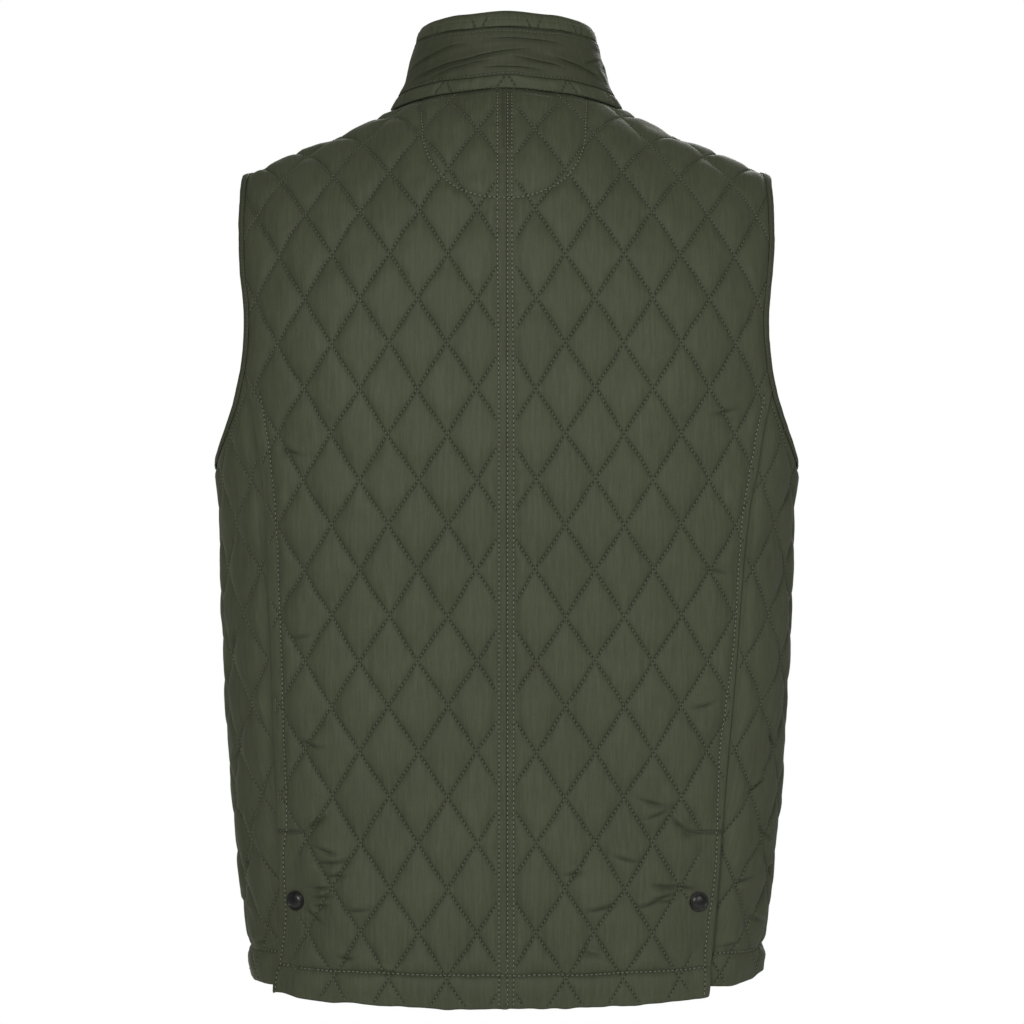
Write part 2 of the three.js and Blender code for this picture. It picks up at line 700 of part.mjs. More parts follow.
function collarBandMesh() {
  const rings = collarTurns.filter((turn) => turn > 3 * lapTurn - Math.PI).map((turn) => {
    const outer = bandRows.map((share, j) => {
      const edge = j === 0 || j === collarBand.rows ? 0 : creaseRise(turn, share);
      return collarPoint(turn, share, -layerGap - collarBand.wall - edge);
    });
    const inner = bandRows.map((share) => collarPoint(turn, share, -layerGap));
    return [...inner, ...outer.reverse()];
  });
  return ringSolid('collar_band', rings, false, trim);
}

// A domed press stud with a rolled rim, on a point of the cloth
function studMesh(name, point, normal) {
  const { radius, height, rim } = stud;
  const profile = [
    [0, 0], [radius - 0.6, 0], [radius, 0.7], [radius, rim + 0.5], [radius - 0.9, rim + 1.1],
    [radius - 1.7, rim + 0.7], [radius * 0.6, height - 0.45], [radius * 0.3, height - 0.05],
    [0, height],
  ].map(([x, y]) => new THREE.Vector2(x, y));
  const mesh = new THREE.Mesh(new THREE.LatheGeometry(profile, 12), metal);
  mesh.name = name;
  mesh.position.copy(point).addScaledVector(normal, stud.seat);
  mesh.quaternion.setFromUnitVectors(new THREE.Vector3(0, 1, 0), normal);
  return mesh;
}

const ventStudPlace = (side) => ({
  across: seamAcross(side, ventStud.z) - ventStud.fromEdge,
  up: ventStud.z - yoke,
});

const frontStudPlaces = span(0, 1, 1 / (frontStuds.count - 1)).map((share) => ({
  across: 0, up: lerp(frontStuds.first, frontStuds.last, share) - yoke,
}));

const vest = new THREE.Group();

for (const side of ['left', 'right']) {
  const mirror = side === 'left' ? 1 : -1;
  const place = ventStudPlace(side);
  vest.add(panelMesh({
    name: `back_${side}`, face: 'back', side, outline: backOutline(side), studs: [place], laps: false,
  }));
  vest.add(panelMesh({
    name: `front_${side}`,
    face: 'front',
    side,
    outline: frontOutline(side),
    studs: side === 'left' ? frontStudPlaces : [],
    laps: side === 'right',
  }));
  vest.add(bindingMesh(side));
  const point = wornPoint('back', place.across, place.up);
  const normal = wornNormal('back', place.across, place.up);
  point.x *= mirror;
  normal.x *= mirror;
  vest.add(studMesh(`vent_stud_${side}`, point, normal));
}

frontStudPlaces.forEach(({ across, up }, i) => {
  const point = wornPoint('front', across, up);
  vest.add(studMesh(`front_stud_${i + 1}`, point, wornNormal('front', across, up)));
});

vest.add(collarMesh());
vest.add(collarBandMesh());

const middle = bandRows[collarBand.rows / 2];
const bandFace = (share) => collarPoint(Math.PI, share, -layerGap - collarBand.wall);
const climb = bandFace(middle + 0.05).sub(bandFace(middle - 0.05));
const collarFront = new THREE.Vector3(1, 0, 0).cross(climb).normalize();
vest.add(studMesh('collar_stud', bandFace(middle), collarFront));

export default vest;
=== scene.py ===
"""Looks of the quilted vest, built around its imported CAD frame.

The cloth is described flat, as a tailor cuts it, and then bent round the body. Flat cloth has
two measures: across, the length from the middle of the back or front, and up, the length above
the yoke level. Lengths of the pattern are in millimetres, and every Blender mesh is in metres.
"""

from __future__ import annotations

import logging
import math
from collections.abc import Callable
from dataclasses import dataclass, field
from enum import Enum

import bpy
import numpy as np
from mathutils import Matrix, Vector
from mathutils.geometry import delaunay_2d_cdt

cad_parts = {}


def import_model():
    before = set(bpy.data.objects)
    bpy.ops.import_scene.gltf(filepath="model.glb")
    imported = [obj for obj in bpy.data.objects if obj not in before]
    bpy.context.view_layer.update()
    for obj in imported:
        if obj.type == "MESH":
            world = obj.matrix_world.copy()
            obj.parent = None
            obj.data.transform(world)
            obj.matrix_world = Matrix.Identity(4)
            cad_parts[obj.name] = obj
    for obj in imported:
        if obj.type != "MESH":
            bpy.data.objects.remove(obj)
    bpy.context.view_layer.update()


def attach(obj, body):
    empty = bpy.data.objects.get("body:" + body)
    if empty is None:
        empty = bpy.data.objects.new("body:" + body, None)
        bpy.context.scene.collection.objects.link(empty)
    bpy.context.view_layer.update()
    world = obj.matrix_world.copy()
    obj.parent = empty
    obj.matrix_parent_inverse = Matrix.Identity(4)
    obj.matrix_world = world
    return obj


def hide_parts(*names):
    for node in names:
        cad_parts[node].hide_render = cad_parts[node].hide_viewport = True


logging.basicConfig(level=logging.INFO, format="%(message)s")
log = logging.getLogger("vest")

Array = np.ndarray
Pair = tuple[float, float]
Triple = tuple[float, float, float]
Box = tuple[float, float, float, float]
Socket = bpy.types.NodeSocket
MM = 0.001
TINY = 1e-9
UNMEASURED = 1000.0


class Face(Enum):
    """The half of the body that a panel starts from, with its outward direction along Y."""

    BACK = 1.0
    FRONT = -1.0

    @property
    def other(self) -> Face:
        """The opposite half."""
        return Face.FRONT if self is Face.BACK else Face.BACK


class Side(Enum):
    """The wearer's left, at +X, or right, at -X."""

    LEFT = 1.0
    RIGHT = -1.0

    @property
    def word(self) -> str:
        """The side's name in the names of pieces."""
        return self.name.lower()


def smoothstep(value: Array | float, low: float, high: float) -> Array:
    """A soft step from 0 at low to 1 at high."""
    t = np.clip((np.asarray(value, float) - low) / (high - low), 0.0, 1.0)
    return t * t * (3.0 - 2.0 * t)


def bell(value: Array, width: float) -> Array:
    """A soft bump: 1 where the value is nothing, and small beyond the width."""
    return np.exp(-((value / width) ** 2))


def rounded(edge: Array, radius: Array | float) -> Array:
    """How far a face falls at each distance inside its rounded edge."""
    bare = np.clip(radius - edge, 0, radius)
    return radius - np.sqrt(np.maximum(radius ** 2 - bare ** 2, 0))


def signed_area(outline: Array) -> float:
    """Area inside an outline, below zero where it runs clockwise."""
    x, y = outline.T
    return float(np.sum(x * np.roll(y, -1) - np.roll(x, -1) * y)) / 2


def running(steps: Array) -> Array:
    """The running total of steps, from nothing."""
    return np.concatenate([[0.0], np.cumsum(steps)])


def unit(vectors: Array) -> Array:
    """Vectors brought to a length of one."""
    return vectors / np.linalg.norm(vectors, axis=-1, keepdims=True)


def sideways(ahead: Array) -> Array:
    """Unit directions at right angles to directions on the flat cloth."""
    aside = np.stack([-ahead[:, 1], ahead[:, 0]], 1)
    return aside / np.maximum(np.hypot(aside[:, 0], aside[:, 1]), TINY)[:, None]


def rumple(x: Array, y: Array, seed: int) -> Array:
    """Smooth seeded noise, from -1 to 1, with features about one unit apart.

    Args:
        x: First measure of each place.
        y: Second measure of each place.
        seed: Picks one field out of many.

    Returns:
        The value at each place.
    """
    x = np.asarray(x, float)
    y = np.asarray(y, float)
    cell_x = np.floor(x).astype(np.int64)
    cell_y = np.floor(y).astype(np.int64)

    def corner(i: Array, j: Array) -> Array:
        """The seeded value at each corner of the grid, from -1 to 1."""
        mixed = (i * 374761393 + j * 668265263 + seed * 2246822519) & 0xFFFFFFFF
        mixed = ((mixed ^ (mixed >> 13)) * 1274126177) & 0xFFFFFFFF
        return ((mixed ^ (mixed >> 16)) & 0xFFFF) / 32767.5 - 1.0

    fx = x - cell_x
    fy = y - cell_y
    fx = fx * fx * fx * (fx * (fx * 6.0 - 15.0) + 10.0)
    fy = fy * fy * fy * (fy * (fy * 6.0 - 15.0) + 10.0)
    low = corner(cell_x, cell_y) * (1 - fx) + corner(cell_x + 1, cell_y) * fx
    high = corner(cell_x, cell_y + 1) * (1 - fx) + corner(cell_x + 1, cell_y + 1) * fx
    return low * (1 - fy) + high * fy


@dataclass(frozen=True)
class Curve:
    """A smooth curve through the values of one measure at several places."""

    places: tuple[float, ...]
    values: tuple[float, ...]

    def read(self, at: Array | float) -> Array:
        """The measure at each place asked for."""
        places = np.array(self.places)
        values = np.array(self.values)
        count = len(places)
        index = np.arange(count)
        before = np.maximum(index - 1, 0)
        after = np.minimum(index + 1, count - 1)
        slope = (values[after] - values[before]) / (places[after] - places[before])
        i = np.clip(np.searchsorted(places, at) - 1, 0, count - 2)
        span = places[i + 1] - places[i]
        t = np.clip((np.asarray(at, float) - places[i]) / span, 0.0, 1.0)
        t2 = t * t
        t3 = t2 * t
        start = (2 * t3 - 3 * t2 + 1) * values[i] + (t3 - 2 * t2 + t) * span * slope[i]
        end = (3 * t2 - 2 * t3) * values[i + 1] + (t3 - t2) * span * slope[i + 1]
        return start + end


@dataclass(frozen=True)
class Walk:
    """A quarter of a rounded section, walked from (0, depth) to (width, 0)."""

    length: Array
    x: Array
    y: Array

    @classmethod
    def around(cls, width: float, depth: float, power: float) -> Walk:
        """Walks the quarter of a rounded section with these half measures."""
        angle = np.linspace(0.0, math.pi / 2, 641)
        x = width * np.sin(angle) ** (2 / power)
        y = depth * np.clip(np.cos(angle), 0.0, 1.0) ** (2 / power)
        return cls(running(np.hypot(np.diff(x), np.diff(y))), x, y)

    @property
    def total(self) -> float:
        """The whole length of the quarter."""
        return float(self.length[-1])


SECTION_HEIGHTS = (-700.0, -651.0, -619.0, -580.0, -541.0, -462.0, -384.0, -306.0, -276.0, 60.0)


@dataclass
class BodyForm:
    """The worn vest's form, and the map from flat cloth to it."""

    yoke: float = -200.0
    power: float = 2.6
    half_width: Curve = Curve(
        SECTION_HEIGHTS, (198.0, 199.5, 203.5, 208.0, 212.0, 217.5, 220.5, 223.5, 226.5, 226.5))
    depths: dict[Face, Curve] = field(default_factory=lambda: {
        Face.BACK: Curve(
            SECTION_HEIGHTS, (118.0, 118.0, 119.0, 119.0, 120.0, 121.0, 124.0, 127.0, 127.0, 127.0)),
        Face.FRONT: Curve(
            SECTION_HEIGHTS, (114.0, 115.0, 115.0, 115.0, 116.0, 117.0, 119.0, 120.0, 120.0, 120.0)),
    })
    ridge: Curve = Curve(
        (-43.0, 0.0, 43.0, 71.0, 90.0, 106.0, 124.0, 146.0, 170.0, 200.0, 230.0),
        (22.6, 33.5, 22.6, 8.6, -2.5, -11.5, -19.5, -28.9, -39.0, -50.5, -62.0))
    lean_powers: dict[Face, float] = field(
        default_factory=lambda: {Face.BACK: 2.2, Face.FRONT: 1.8})
    grid: float = 2.0

    def __post_init__(self) -> None:
        """Tabulates the worn cloth of both halves."""
        self.across_grid = np.arange(-64.0, 500.0, self.grid)
        self.up_grid = np.arange(-504.0, 344.0, self.grid)
        self.z_grid = np.arange(-704.0, 64.0, 4.0)
        self.totals: dict[Face, Array] = {}
        self.ridge_ups: dict[Face, Array] = {}
        self.tables: dict[Face, Array] = {}
        for face in Face:
            walks = [self.section(face, z) for z in self.z_grid]
            self.totals[face] = np.array([walk.total for walk in walks])
        for face in Face:
            self.tables[face], self.ridge_ups[face] = self._tabulate(face)

    def section(self, face: Face, z: float) -> Walk:
        """The level quarter section of one half at a height."""
        return Walk.around(
            float(self.half_width.read(z)), float(self.depths[face].read(z)), self.power)

    def ridge_height(self, x: Array | float) -> Array:
        """Height of the shoulder ridge at a distance from the neck's middle."""
        return self.ridge.read(np.abs(x))

    def lean(self, face: Face, x: float, depth: float) -> Walk:
        """The upright section from the yoke level to the shoulder ridge, at x from the middle."""
        return Walk.around(float(self.ridge_height(x)) - self.yoke, depth, self.lean_powers[face])

    def _tabulate(self, face: Face) -> tuple[Array, Array]:
        """The worn place of each place on a grid of the flat cloth, and each column's length."""
        table = np.zeros((len(self.up_grid), len(self.across_grid), 3))
        outward = face.value
        for row, up in enumerate(self.up_grid):
            if up > 0:
                continue
            z = self.yoke + up
            here = self.section(face, z)
            beyond = self.section(face.other, z)
            length = np.concatenate([
                -here.length[:0:-1], here.length, here.total + beyond.total - beyond.length[-2::-1]])
            x = np.concatenate([-here.x[:0:-1], here.x, beyond.x[-2::-1]])
            y = np.concatenate([here.y[:0:-1], here.y, -beyond.y[-2::-1]])
            table[row, :, 0] = np.interp(self.across_grid, length, x)
            table[row, :, 1] = outward * np.interp(self.across_grid, length, y)
            table[row, :, 2] = z
        above = self.up_grid > 0
        level = self.section(face, self.yoke)
        ends = np.zeros(len(self.across_grid))
        for col, across in enumerate(self.across_grid):
            foot = min(abs(across), level.total - 0.5)
            x = math.copysign(float(np.interp(foot, level.length, level.x)), across)
            depth = float(np.interp(foot, level.length, level.y))
            lean = self.lean(face, x, depth)
            ends[col] = lean.total
            ups = self.up_grid[above]
            past = np.maximum(ups - lean.total, 0.0)
            table[above, col, 0] = x
            table[above, col, 1] = outward * (np.interp(ups, lean.length, lean.y) - past)
            table[above, col, 2] = self.yoke + np.interp(ups, lean.length, lean.x)
        return table, ends

    def point(self, face: Face, across: Array, up: Array) -> Array:
        """The worn cloth's places for places of the flat cloth.

        Args:
            face: The half from whose middle across is measured.
            across: Length from the middle, of each place.
            up: Length above the yoke level, of each place.

        Returns:
            One row of x, y and z for each place, in millimetres, for the wearer's left side.
        """
        table = self.tables[face]
        column = (np.asarray(across, float) - self.across_grid[0]) / self.grid
        row = (np.asarray(up, float) - self.up_grid[0]) / self.grid
        i = np.clip(np.floor(row).astype(int), 1, table.shape[0] - 3)
        j = np.clip(np.floor(column).astype(int), 1, table.shape[1] - 3)
        row_weights = self._weights(row - i)
        column_weights = self._weights(column - j)
        place = np.zeros((*np.shape(row), 3))
        for di, row_weight in enumerate(row_weights):
            for dj, column_weight in enumerate(column_weights):
                share = (row_weight * column_weight)[..., None]
                place += share * table[i + di - 1, j + dj - 1]
        return place

    @staticmethod
    def _weights(t: Array) -> list[Array]:
        """Shares of four neighbours in a smooth curve through the middle two."""
        return [
            -0.5 * t + t * t - 0.5 * t ** 3,
            1 - 2.5 * t * t + 1.5 * t ** 3,
            0.5 * t + 2 * t * t - 1.5 * t ** 3,
            -0.5 * t * t + 0.5 * t ** 3,
        ]

    def directions(self, face: Face, across: Array, up: Array) -> tuple[Array, Array, Array]:
        """How the worn cloth runs at each place.

        Args:
            face: The half from whose middle across is measured.
            across: Length from the middle, of each place.
            up: Length above the yoke level, of each place.

        Returns:
            The vectors for a millimetre across and a millimetre up, and the outward normal.
        """
        reach = 1.5
        along = self.point(face, across + reach, up) - self.point(face, across - reach, up)
        rising = self.point(face, across, up + reach) - self.point(face, across, up - reach)
        normal = unit(np.cross(rising, along) * face.value)
        return along / (2 * reach), rising / (2 * reach), normal

    def raised(self, face: Face, side: Side, across: Array, up: Array, rise: Array) -> Array:
        """Places in metres at a height over the worn cloth, on the given side of the body."""
        place = self.point(face, across, up)
        normal = self.directions(face, across, up)[2]
        place = place + normal * np.asarray(rise)[..., None]
        place[..., 0] *= side.value
        return place * MM

    def side_length(self, face: Face, z: Array | float) -> Array:
        """Length from the middle to the body's side at each height."""
        return np.interp(z, self.z_grid, self.totals[face])

    def ridge_up(self, face: Face, across: Array | float) -> Array:
        """Length from the yoke level to the shoulder ridge in each column."""
        return np.interp(across, self.across_grid, self.ridge_ups[face])

    def across_at(self, face: Face, x: float, z: float) -> float:
        """Length from the middle to the place x from it, at one height."""
        walk = self.section(face, z)
        return float(np.interp(x, walk.x, walk.length))

    def shoulder_height(self, x: Array, y: Array) -> Array:
        """Height of the worn cloth over places in plan near the neck."""
        height = np.zeros(np.shape(x))
        for face in Face:
            level = self.section(face, self.yoke)
            depth = np.interp(np.abs(x), level.x, level.y)
            power = self.lean_powers[face]
            share = np.minimum(np.abs(y) / depth, 1.0)
            lean = (self.ridge_height(x) - self.yoke) * (1 - share ** power) ** (1 / power)
            here = (y >= 0) if face is Face.BACK else (y < 0)
            height = np.where(here, self.yoke + lean, height)
        return height


@dataclass(frozen=True)
class Quilting:
    """Diamonds stitched through soft wadding."""

    width: float = 44.5
    height: float = 68.5
    rise: float = 2.9
    crossing_up: float = -56.4
    softness: float = 2.6
    stitches: int = 12

    def lines(self, across: Array, up: Array) -> tuple[Array, Array]:
        """Two measures that are whole numbers on the two families of stitch lines."""
        level = across / self.width
        climb = (up - self.crossing_up) / self.height
        return level + climb, level - climb

    @property
    def spacing(self) -> float:
        """Distance between neighbouring lines of one family."""
        return self.width * self.height / 2 / self.edge

    @property
    def edge(self) -> float:
        """Length of a diamond's side."""
        return math.hypot(self.width, self.height) / 2

    def pillow(self, across: Array, up: Array) -> Array:
        """Share of the full rise: none on a stitch line, all in a diamond's middle."""
        p, q = self.lines(across, up)
        bulge = np.abs(np.sin(math.pi * p) * np.sin(math.pi * q))
        return 1 - (1 - bulge) ** self.softness

    def pucker(self, across: Array, up: Array) -> Array:
        """Small gathers that the thread pulls across each stitch line."""
        total = np.zeros(np.shape(across))
        for seed, (cross, along) in enumerate((self.lines(across, up), self.lines(across, up)[::-1])):
            line = np.round(cross)
            off = np.abs(cross - line) * self.spacing
            run = along * self.edge
            wave = rumple(run / 6.5, line * 7.3, 11 + seed) + 0.5 * rumple(run / 3.6, line * 5.1, 17 + seed)
            total += wave * bell(off, 6.5)
        return total

    def lattice(self, box: Box, divisions: int) -> Array:
        """Points on and between the stitch lines, closer together beside a line.

        Args:
            box: Lowest across, lowest up, highest across and highest up.
            divisions: Steps across one diamond.

        Returns:
            Rows of across and up.
        """
        share = np.arange(divisions) / divisions
        share = share - 0.55 / (2 * math.pi) * np.sin(2 * math.pi * share)
        grids = []
        for measure in zip(*self._corners(box)):
            cells = np.arange(math.floor(min(measure)), math.ceil(max(measure)))
            grids.append((cells[:, None] + share[None, :]).ravel())
        return self._within(box, *(grid.ravel() for grid in np.meshgrid(*grids)))

    def _corners(self, box: Box) -> list[tuple[Array, Array]]:
        """The two measures at a box's corners."""
        return [self.lines(np.array(a), np.array(u)) for a in box[::2] for u in box[1::2]]

    def _within(self, box: Box, p: Array, q: Array) -> Array:
        """The flat places with the given two measures that lie in a box."""
        points = np.stack([self.width * (p + q) / 2, self.crossing_up + self.height * (p - q) / 2], 1)
        return points[((points > box[:2]) & (points < box[2:])).all(1)]

    def seams(self, box: Box) -> tuple[Array, Array]:
        """The middles and unit directions of all the quilting stitches in a box."""
        corners = self._corners(box)
        low = math.floor(min(min(c) for c in corners))
        high = math.ceil(max(max(c) for c in corners))
        line = np.arange(low, high + 1.0)
        step = (np.arange(low * self.stitches, high * self.stitches) + 0.5) / self.stitches
        cross, along = (grid.ravel() for grid in np.meshgrid(line, step))
        centres, directions = [], []
        for p, q, rise in ((cross, along, -1), (along, cross, 1)):
            centres.append(self._within(box, p, q))
            way = np.array([self.width, rise * self.height]) / (2 * self.edge)
            directions.append(np.tile(way, (len(centres[-1]), 1)))
        return np.concatenate(centres), np.concatenate(directions)


def stretches(path: Array, closed: bool) -> tuple[Array, Array]:
    """The starts and the ends of a path's straight stretches."""
    if closed:
        return path, np.roll(path, -1, axis=0)
    return path[:-1], path[1:]


def distance_to(path: Array, points: Array, closed: bool, within: float = 1e4) -> tuple[Array, Array]:
    """Distance from points to a path, with how far along the path each nearest place lies.

    Args:
        path: Rows of across and up.
        points: Rows of across and up.
        closed: Whether the path's end joins its start.
        within: Points that lie further than this outside the path's box aren't measured.

    Returns:
        The distances, a thousand where not measured, and the lengths along the path.
    """
    starts, ends = stretches(path, closed)
    step = ends - starts
    square = np.maximum((step ** 2).sum(1), TINY)
    before = running(np.sqrt(square))[:-1]
    nearest = np.full(len(points), UNMEASURED)
    along = np.zeros(len(points))
    near = ((points > path.min(0) - within) & (points < path.max(0) + within)).all(1)
    index = np.flatnonzero(near)
    batch = 3000
    for start in range(0, len(index), batch):
        rows = index[start:start + batch]
        part = points[rows, None, :]
        t = np.clip(((part - starts) * step).sum(2) / square, 0.0, 1.0)
        gap = ((starts + t[..., None] * step - part) ** 2).sum(2)
        best = gap.argmin(1)
        row = np.arange(len(best))
        nearest[rows] = np.sqrt(gap[row, best])
        along[rows] = before[best] + t[row, best] * np.sqrt(square[best])
    return nearest, along


def resample(path: Array, step: float, closed: bool) -> Array:
    """Splits each stretch of a path so that its points lie at most a step apart."""
    pieces = []
    for start, end in zip(*stretches(path, closed)):
        count = max(int(math.ceil(np.hypot(*(end - start)) / step)), 1)
        t = np.arange(count)[:, None] / count
        pieces.append(start + (end - start) * t)
    if not closed:
        pieces.append(path[-1:])
    return np.concatenate(pieces)


def even_places(path: Array, pitch: float) -> tuple[Array, Array]:
    """Places at an even pitch along a path, and the path's unit direction at each."""
    step = np.diff(path, axis=0)
    length = running(np.hypot(step[:, 0], step[:, 1]))
    count = int(length[-1] // pitch)
    at = (length[-1] - count * pitch) / 2 + pitch * (np.arange(count) + 0.5)

    def on_path(where: Array) -> Array:
        """The place at each length along the path."""
        return np.stack([np.interp(where, length, path[:, k]) for k in (0, 1)], 1)

    direction = on_path(at + 0.8) - on_path(at - 0.8)
    return on_path(at), direction / np.maximum(np.hypot(direction[:, 0], direction[:, 1]), TINY)[:, None]


@dataclass(frozen=True)
class Fold:
    """A fold of the cloth: middle, direction in degrees from level, length, width and depth."""

    across: float
    up: float
    along: float
    length: float
    width: float
    depth: float

    def local(self, across: Array, up: Array) -> tuple[Array, Array]:
        """Each place's share along the fold and its widths away from it."""
        turn = math.radians(self.along)
        x = across - self.across
        y = up - self.up
        along = (x * math.cos(turn) + y * math.sin(turn)) / (self.length / 2)
        return along, (y * math.cos(turn) - x * math.sin(turn)) / self.width

    def rise(self, across: Array, up: Array) -> Array:
        """How far the fold lifts the cloth at each place."""
        along, over = self.local(across, up)
        return self.depth * np.exp(-(along ** 2) * 1.5 - over ** 2)


@dataclass(frozen=True)
class Crease(Fold):
    """A sharp short crease: a narrow trough with a soft ridge beside it."""

    bow: float = 0.35

    def local(self, across: Array, up: Array) -> tuple[Array, Array]:
        """As for a fold, but along a line that bows a little."""
        along, over = super().local(across, up)
        return along, over - self.bow * along ** 2

    def rise(self, across: Array, up: Array) -> Array:
        """How far the crease lifts the cloth at each place."""
        along, over = self.local(across, up)
        ridge = bell(over - 1.5, 1.3)
        return self.depth * (1.15 * ridge - 1.2 * np.exp(-(over ** 2))) * np.exp(-(along ** 2) * 2.2)

    def shade(self, across: Array, up: Array) -> Array:
        """How much painted shade darkens each place in the crease's trough, from 0 to 1."""
        along, over = self.local(across, up)
        return 0.68 * min(self.depth, 1.5) * bell(over, 0.6) * np.exp(-(along ** 2) * 3)

    def path(self) -> Array:
        """The crease's line, from end to end."""
        turn = math.radians(self.along)
        reach = np.linspace(-0.6, 0.6, 20) * self.length
        return np.stack([self.across + reach * math.cos(turn), self.up + reach * math.sin(turn)], 1)


@dataclass
class Pattern:
    """The flat outlines of the panels, as a tailor cuts them."""

    form: BodyForm
    seam_gap: float = 0.02
    neck_half_width: float = 84.0
    neck_spread: float = 6.5
    neck_depths: dict[Face, float] = field(
        default_factory=lambda: {Face.BACK: 64.0, Face.FRONT: 80.0})
    under_collar: float = 3.0
    armhole_half: float = 75.0
    armhole_middle: float = -201.0
    armhole_drop: float = 75.0
    bay_depth: float = 9.0
    bay_up: float = 28.0
    bay_span: float = 44.0
    cloth_under_binding: float = 2.4
    hem_middle: float = -690.0
    hem_side: float = -683.5
    hem_front: float = -678.0
    vent_top: float = -559.0
    vent_underlap: float = 38.0
    vent_ramp: float = 30.0
    vent_reach: float = 20.0
    lap_beyond: float = 18.0
    lap_ramp: float = 24.0
    wall: float = 2.2
    lap_gap: float = 1.8
    stud_from_edge: float = 17.0
    vent_stud_z: float = -611.5
    seam_heights: tuple[float, ...] = (
        -700.0, -620.0, -551.0, -486.0, -430.0, -379.0, -313.0, -284.0, -254.0, -229.0, -190.0)
    seams: dict[Side, tuple[float, ...]] = field(default_factory=lambda: {
        Side.LEFT: (178.5, 174.0, 175.0, 178.0, 179.5, 181.5, 184.0, 187.0, 191.5, 196.0, 204.0),
        Side.RIGHT: (152.0, 160.0, 165.0, 170.5, 175.5, 179.0, 185.0, 191.0, 196.5, 202.0, 210.0),
    })

    @property
    def half(self) -> float:
        """Half the gap of a seam."""
        return self.seam_gap / 2

    def seam_across(self, side: Side, z: float) -> float:
        """How far the back side seam lies from the middle of the back."""
        x = float(Curve(self.seam_heights, self.seams[side]).read(z))
        return self.form.across_at(Face.BACK, x, z)

    def neck_half(self, turn: Array | float) -> Array:
        """Half the width of the neck seam, which spreads at the sides."""
        return self.neck_half_width + self.neck_spread * np.sin(turn) ** 2

    def neck_point(self, face: Face, angle: float, inset: float) -> Pair:
        """The flat place of the neck seam at a turn from the middle, moved in by an inset."""
        x = (float(self.neck_half(angle)) - inset) * math.sin(angle)
        y = (self.neck_depths[face] - inset) * math.cos(angle)
        level = self.form.section(face, self.form.yoke)
        across = float(np.interp(abs(x), level.x, level.length))
        depth = float(np.interp(abs(x), level.x, level.y))
        lean = self.form.lean(face, x, depth)
        up = float(np.interp(-y, -lean.y, lean.length))
        return math.copysign(across, x), up

    def armhole_edge(self, face: Face, up: Array, margin: float) -> Array:
        """The column at a margin from the armhole's upright edge."""
        steps = 6
        up = np.asarray(up, float)
        across = float(self.form.side_length(face, self.form.yoke)) - self.armhole_half - self.bay(up)
        for _ in range(steps):
            height = np.minimum(up, self.form.ridge_up(face, across) - 3)
            along, rising, _normal = self.form.directions(face, across, height)
            spread = (np.linalg.norm(np.cross(rising, along), axis=-1)
                      / np.linalg.norm(rising, axis=-1))
            across = across - margin / steps / spread
        return across

    def bay(self, up: Array) -> Array:
        """How much the armhole widens where its upright edges pass into the curve under the arm."""
        return self.bay_depth * bell(up - self.bay_up, self.bay_span)

    def armhole_width(self, z: Array, margin: float) -> Array:
        """Half the armhole's width at each height, or zero below it."""
        fall = np.clip((self.armhole_middle - z) / (self.armhole_drop + margin), 0.0, 1.0)
        full = self.armhole_half + margin + self.bay(z - self.form.yoke)
        return full * np.sqrt(1 - fall * fall)

    def _shoulder(self, face: Face, neck_end: Pair) -> list[list[float]]:
        """The shoulder seam from the neck, and the armhole's upright edge down to the yoke."""
        margin = self.cloth_under_binding
        start = self.form.side_length(face, self.form.yoke) - self.armhole_half - margin
        top = float(self.form.ridge_up(face, start))
        end = float(self.armhole_edge(face, np.array([top]), margin)[0])
        across = np.linspace(neck_end[0], end, 40)[1:]
        points = [[a, float(self.form.ridge_up(face, a)) - self.half] for a in across]
        ups = np.linspace(top - 4, 4, 60)
        edge = self.armhole_edge(face, ups, margin)
        return points + [[a, u] for a, u in zip(edge, ups)]

    def _neck(self, face: Face, first: float, least: float) -> list[list[float]]:
        """The neck edge, from an angle at the middle to the shoulder."""
        angles = np.linspace(first, math.pi / 2 - 0.004, 48)
        points = []
        for angle in angles:
            across, up = self.neck_point(face, float(angle), self.under_collar)
            points.append([max(across, least), up - self.half])
        return points

    @staticmethod
    def waved(points: list[list[float]], seed: int) -> list[list[float]]:
        """A hem edge that waves a little, as soft cloth does between its stitches."""
        across, up = np.array(points).T
        level = np.full(len(across), float(seed))
        up = up + 1.1 * rumple(across / 23, level, seed) + 0.5 * rumple(across / 9, level, seed + 1)
        return np.stack([across, up], 1).tolist()

    def back(self, side: Side) -> Array:
        """Outline of half the back: middle seam, neck, shoulder, armhole, side seam and hem."""
        form = self.form
        points = [[self.half, self.hem_middle - form.yoke]]
        points += self._neck(Face.BACK, 0.0, self.half)
        points += self._shoulder(Face.BACK, tuple(points[-1]))
        for up in np.linspace(0.0, self.hem_side - form.yoke, 130):
            z = form.yoke + up
            edge = float(form.side_length(Face.BACK, z) - self.armhole_width(
                np.array(z), self.cloth_under_binding))
            points.append([min(edge, self.seam_across(side, z) - self.half), up])
        corner = points[-1][0]
        widest = self.seams[Side.LEFT][0]
        hem = []
        for across in np.linspace(corner, self.half, 80)[1:-1]:
            share = min((across / widest) ** 2, 1.0)
            hem.append([across, self.hem_middle + (self.hem_side - self.hem_middle) * share - form.yoke])
        return np.array(points + self.waved(hem, 3 if side is Side.LEFT else 4))

    def front_reach(self, side: Side, z: float) -> float:
        """How far the front panel reaches at the back side seam."""
        lengths = float(self.form.side_length(Face.FRONT, z) + self.form.side_length(Face.BACK, z))
        return lengths - self.seam_across(side, z) - self.half

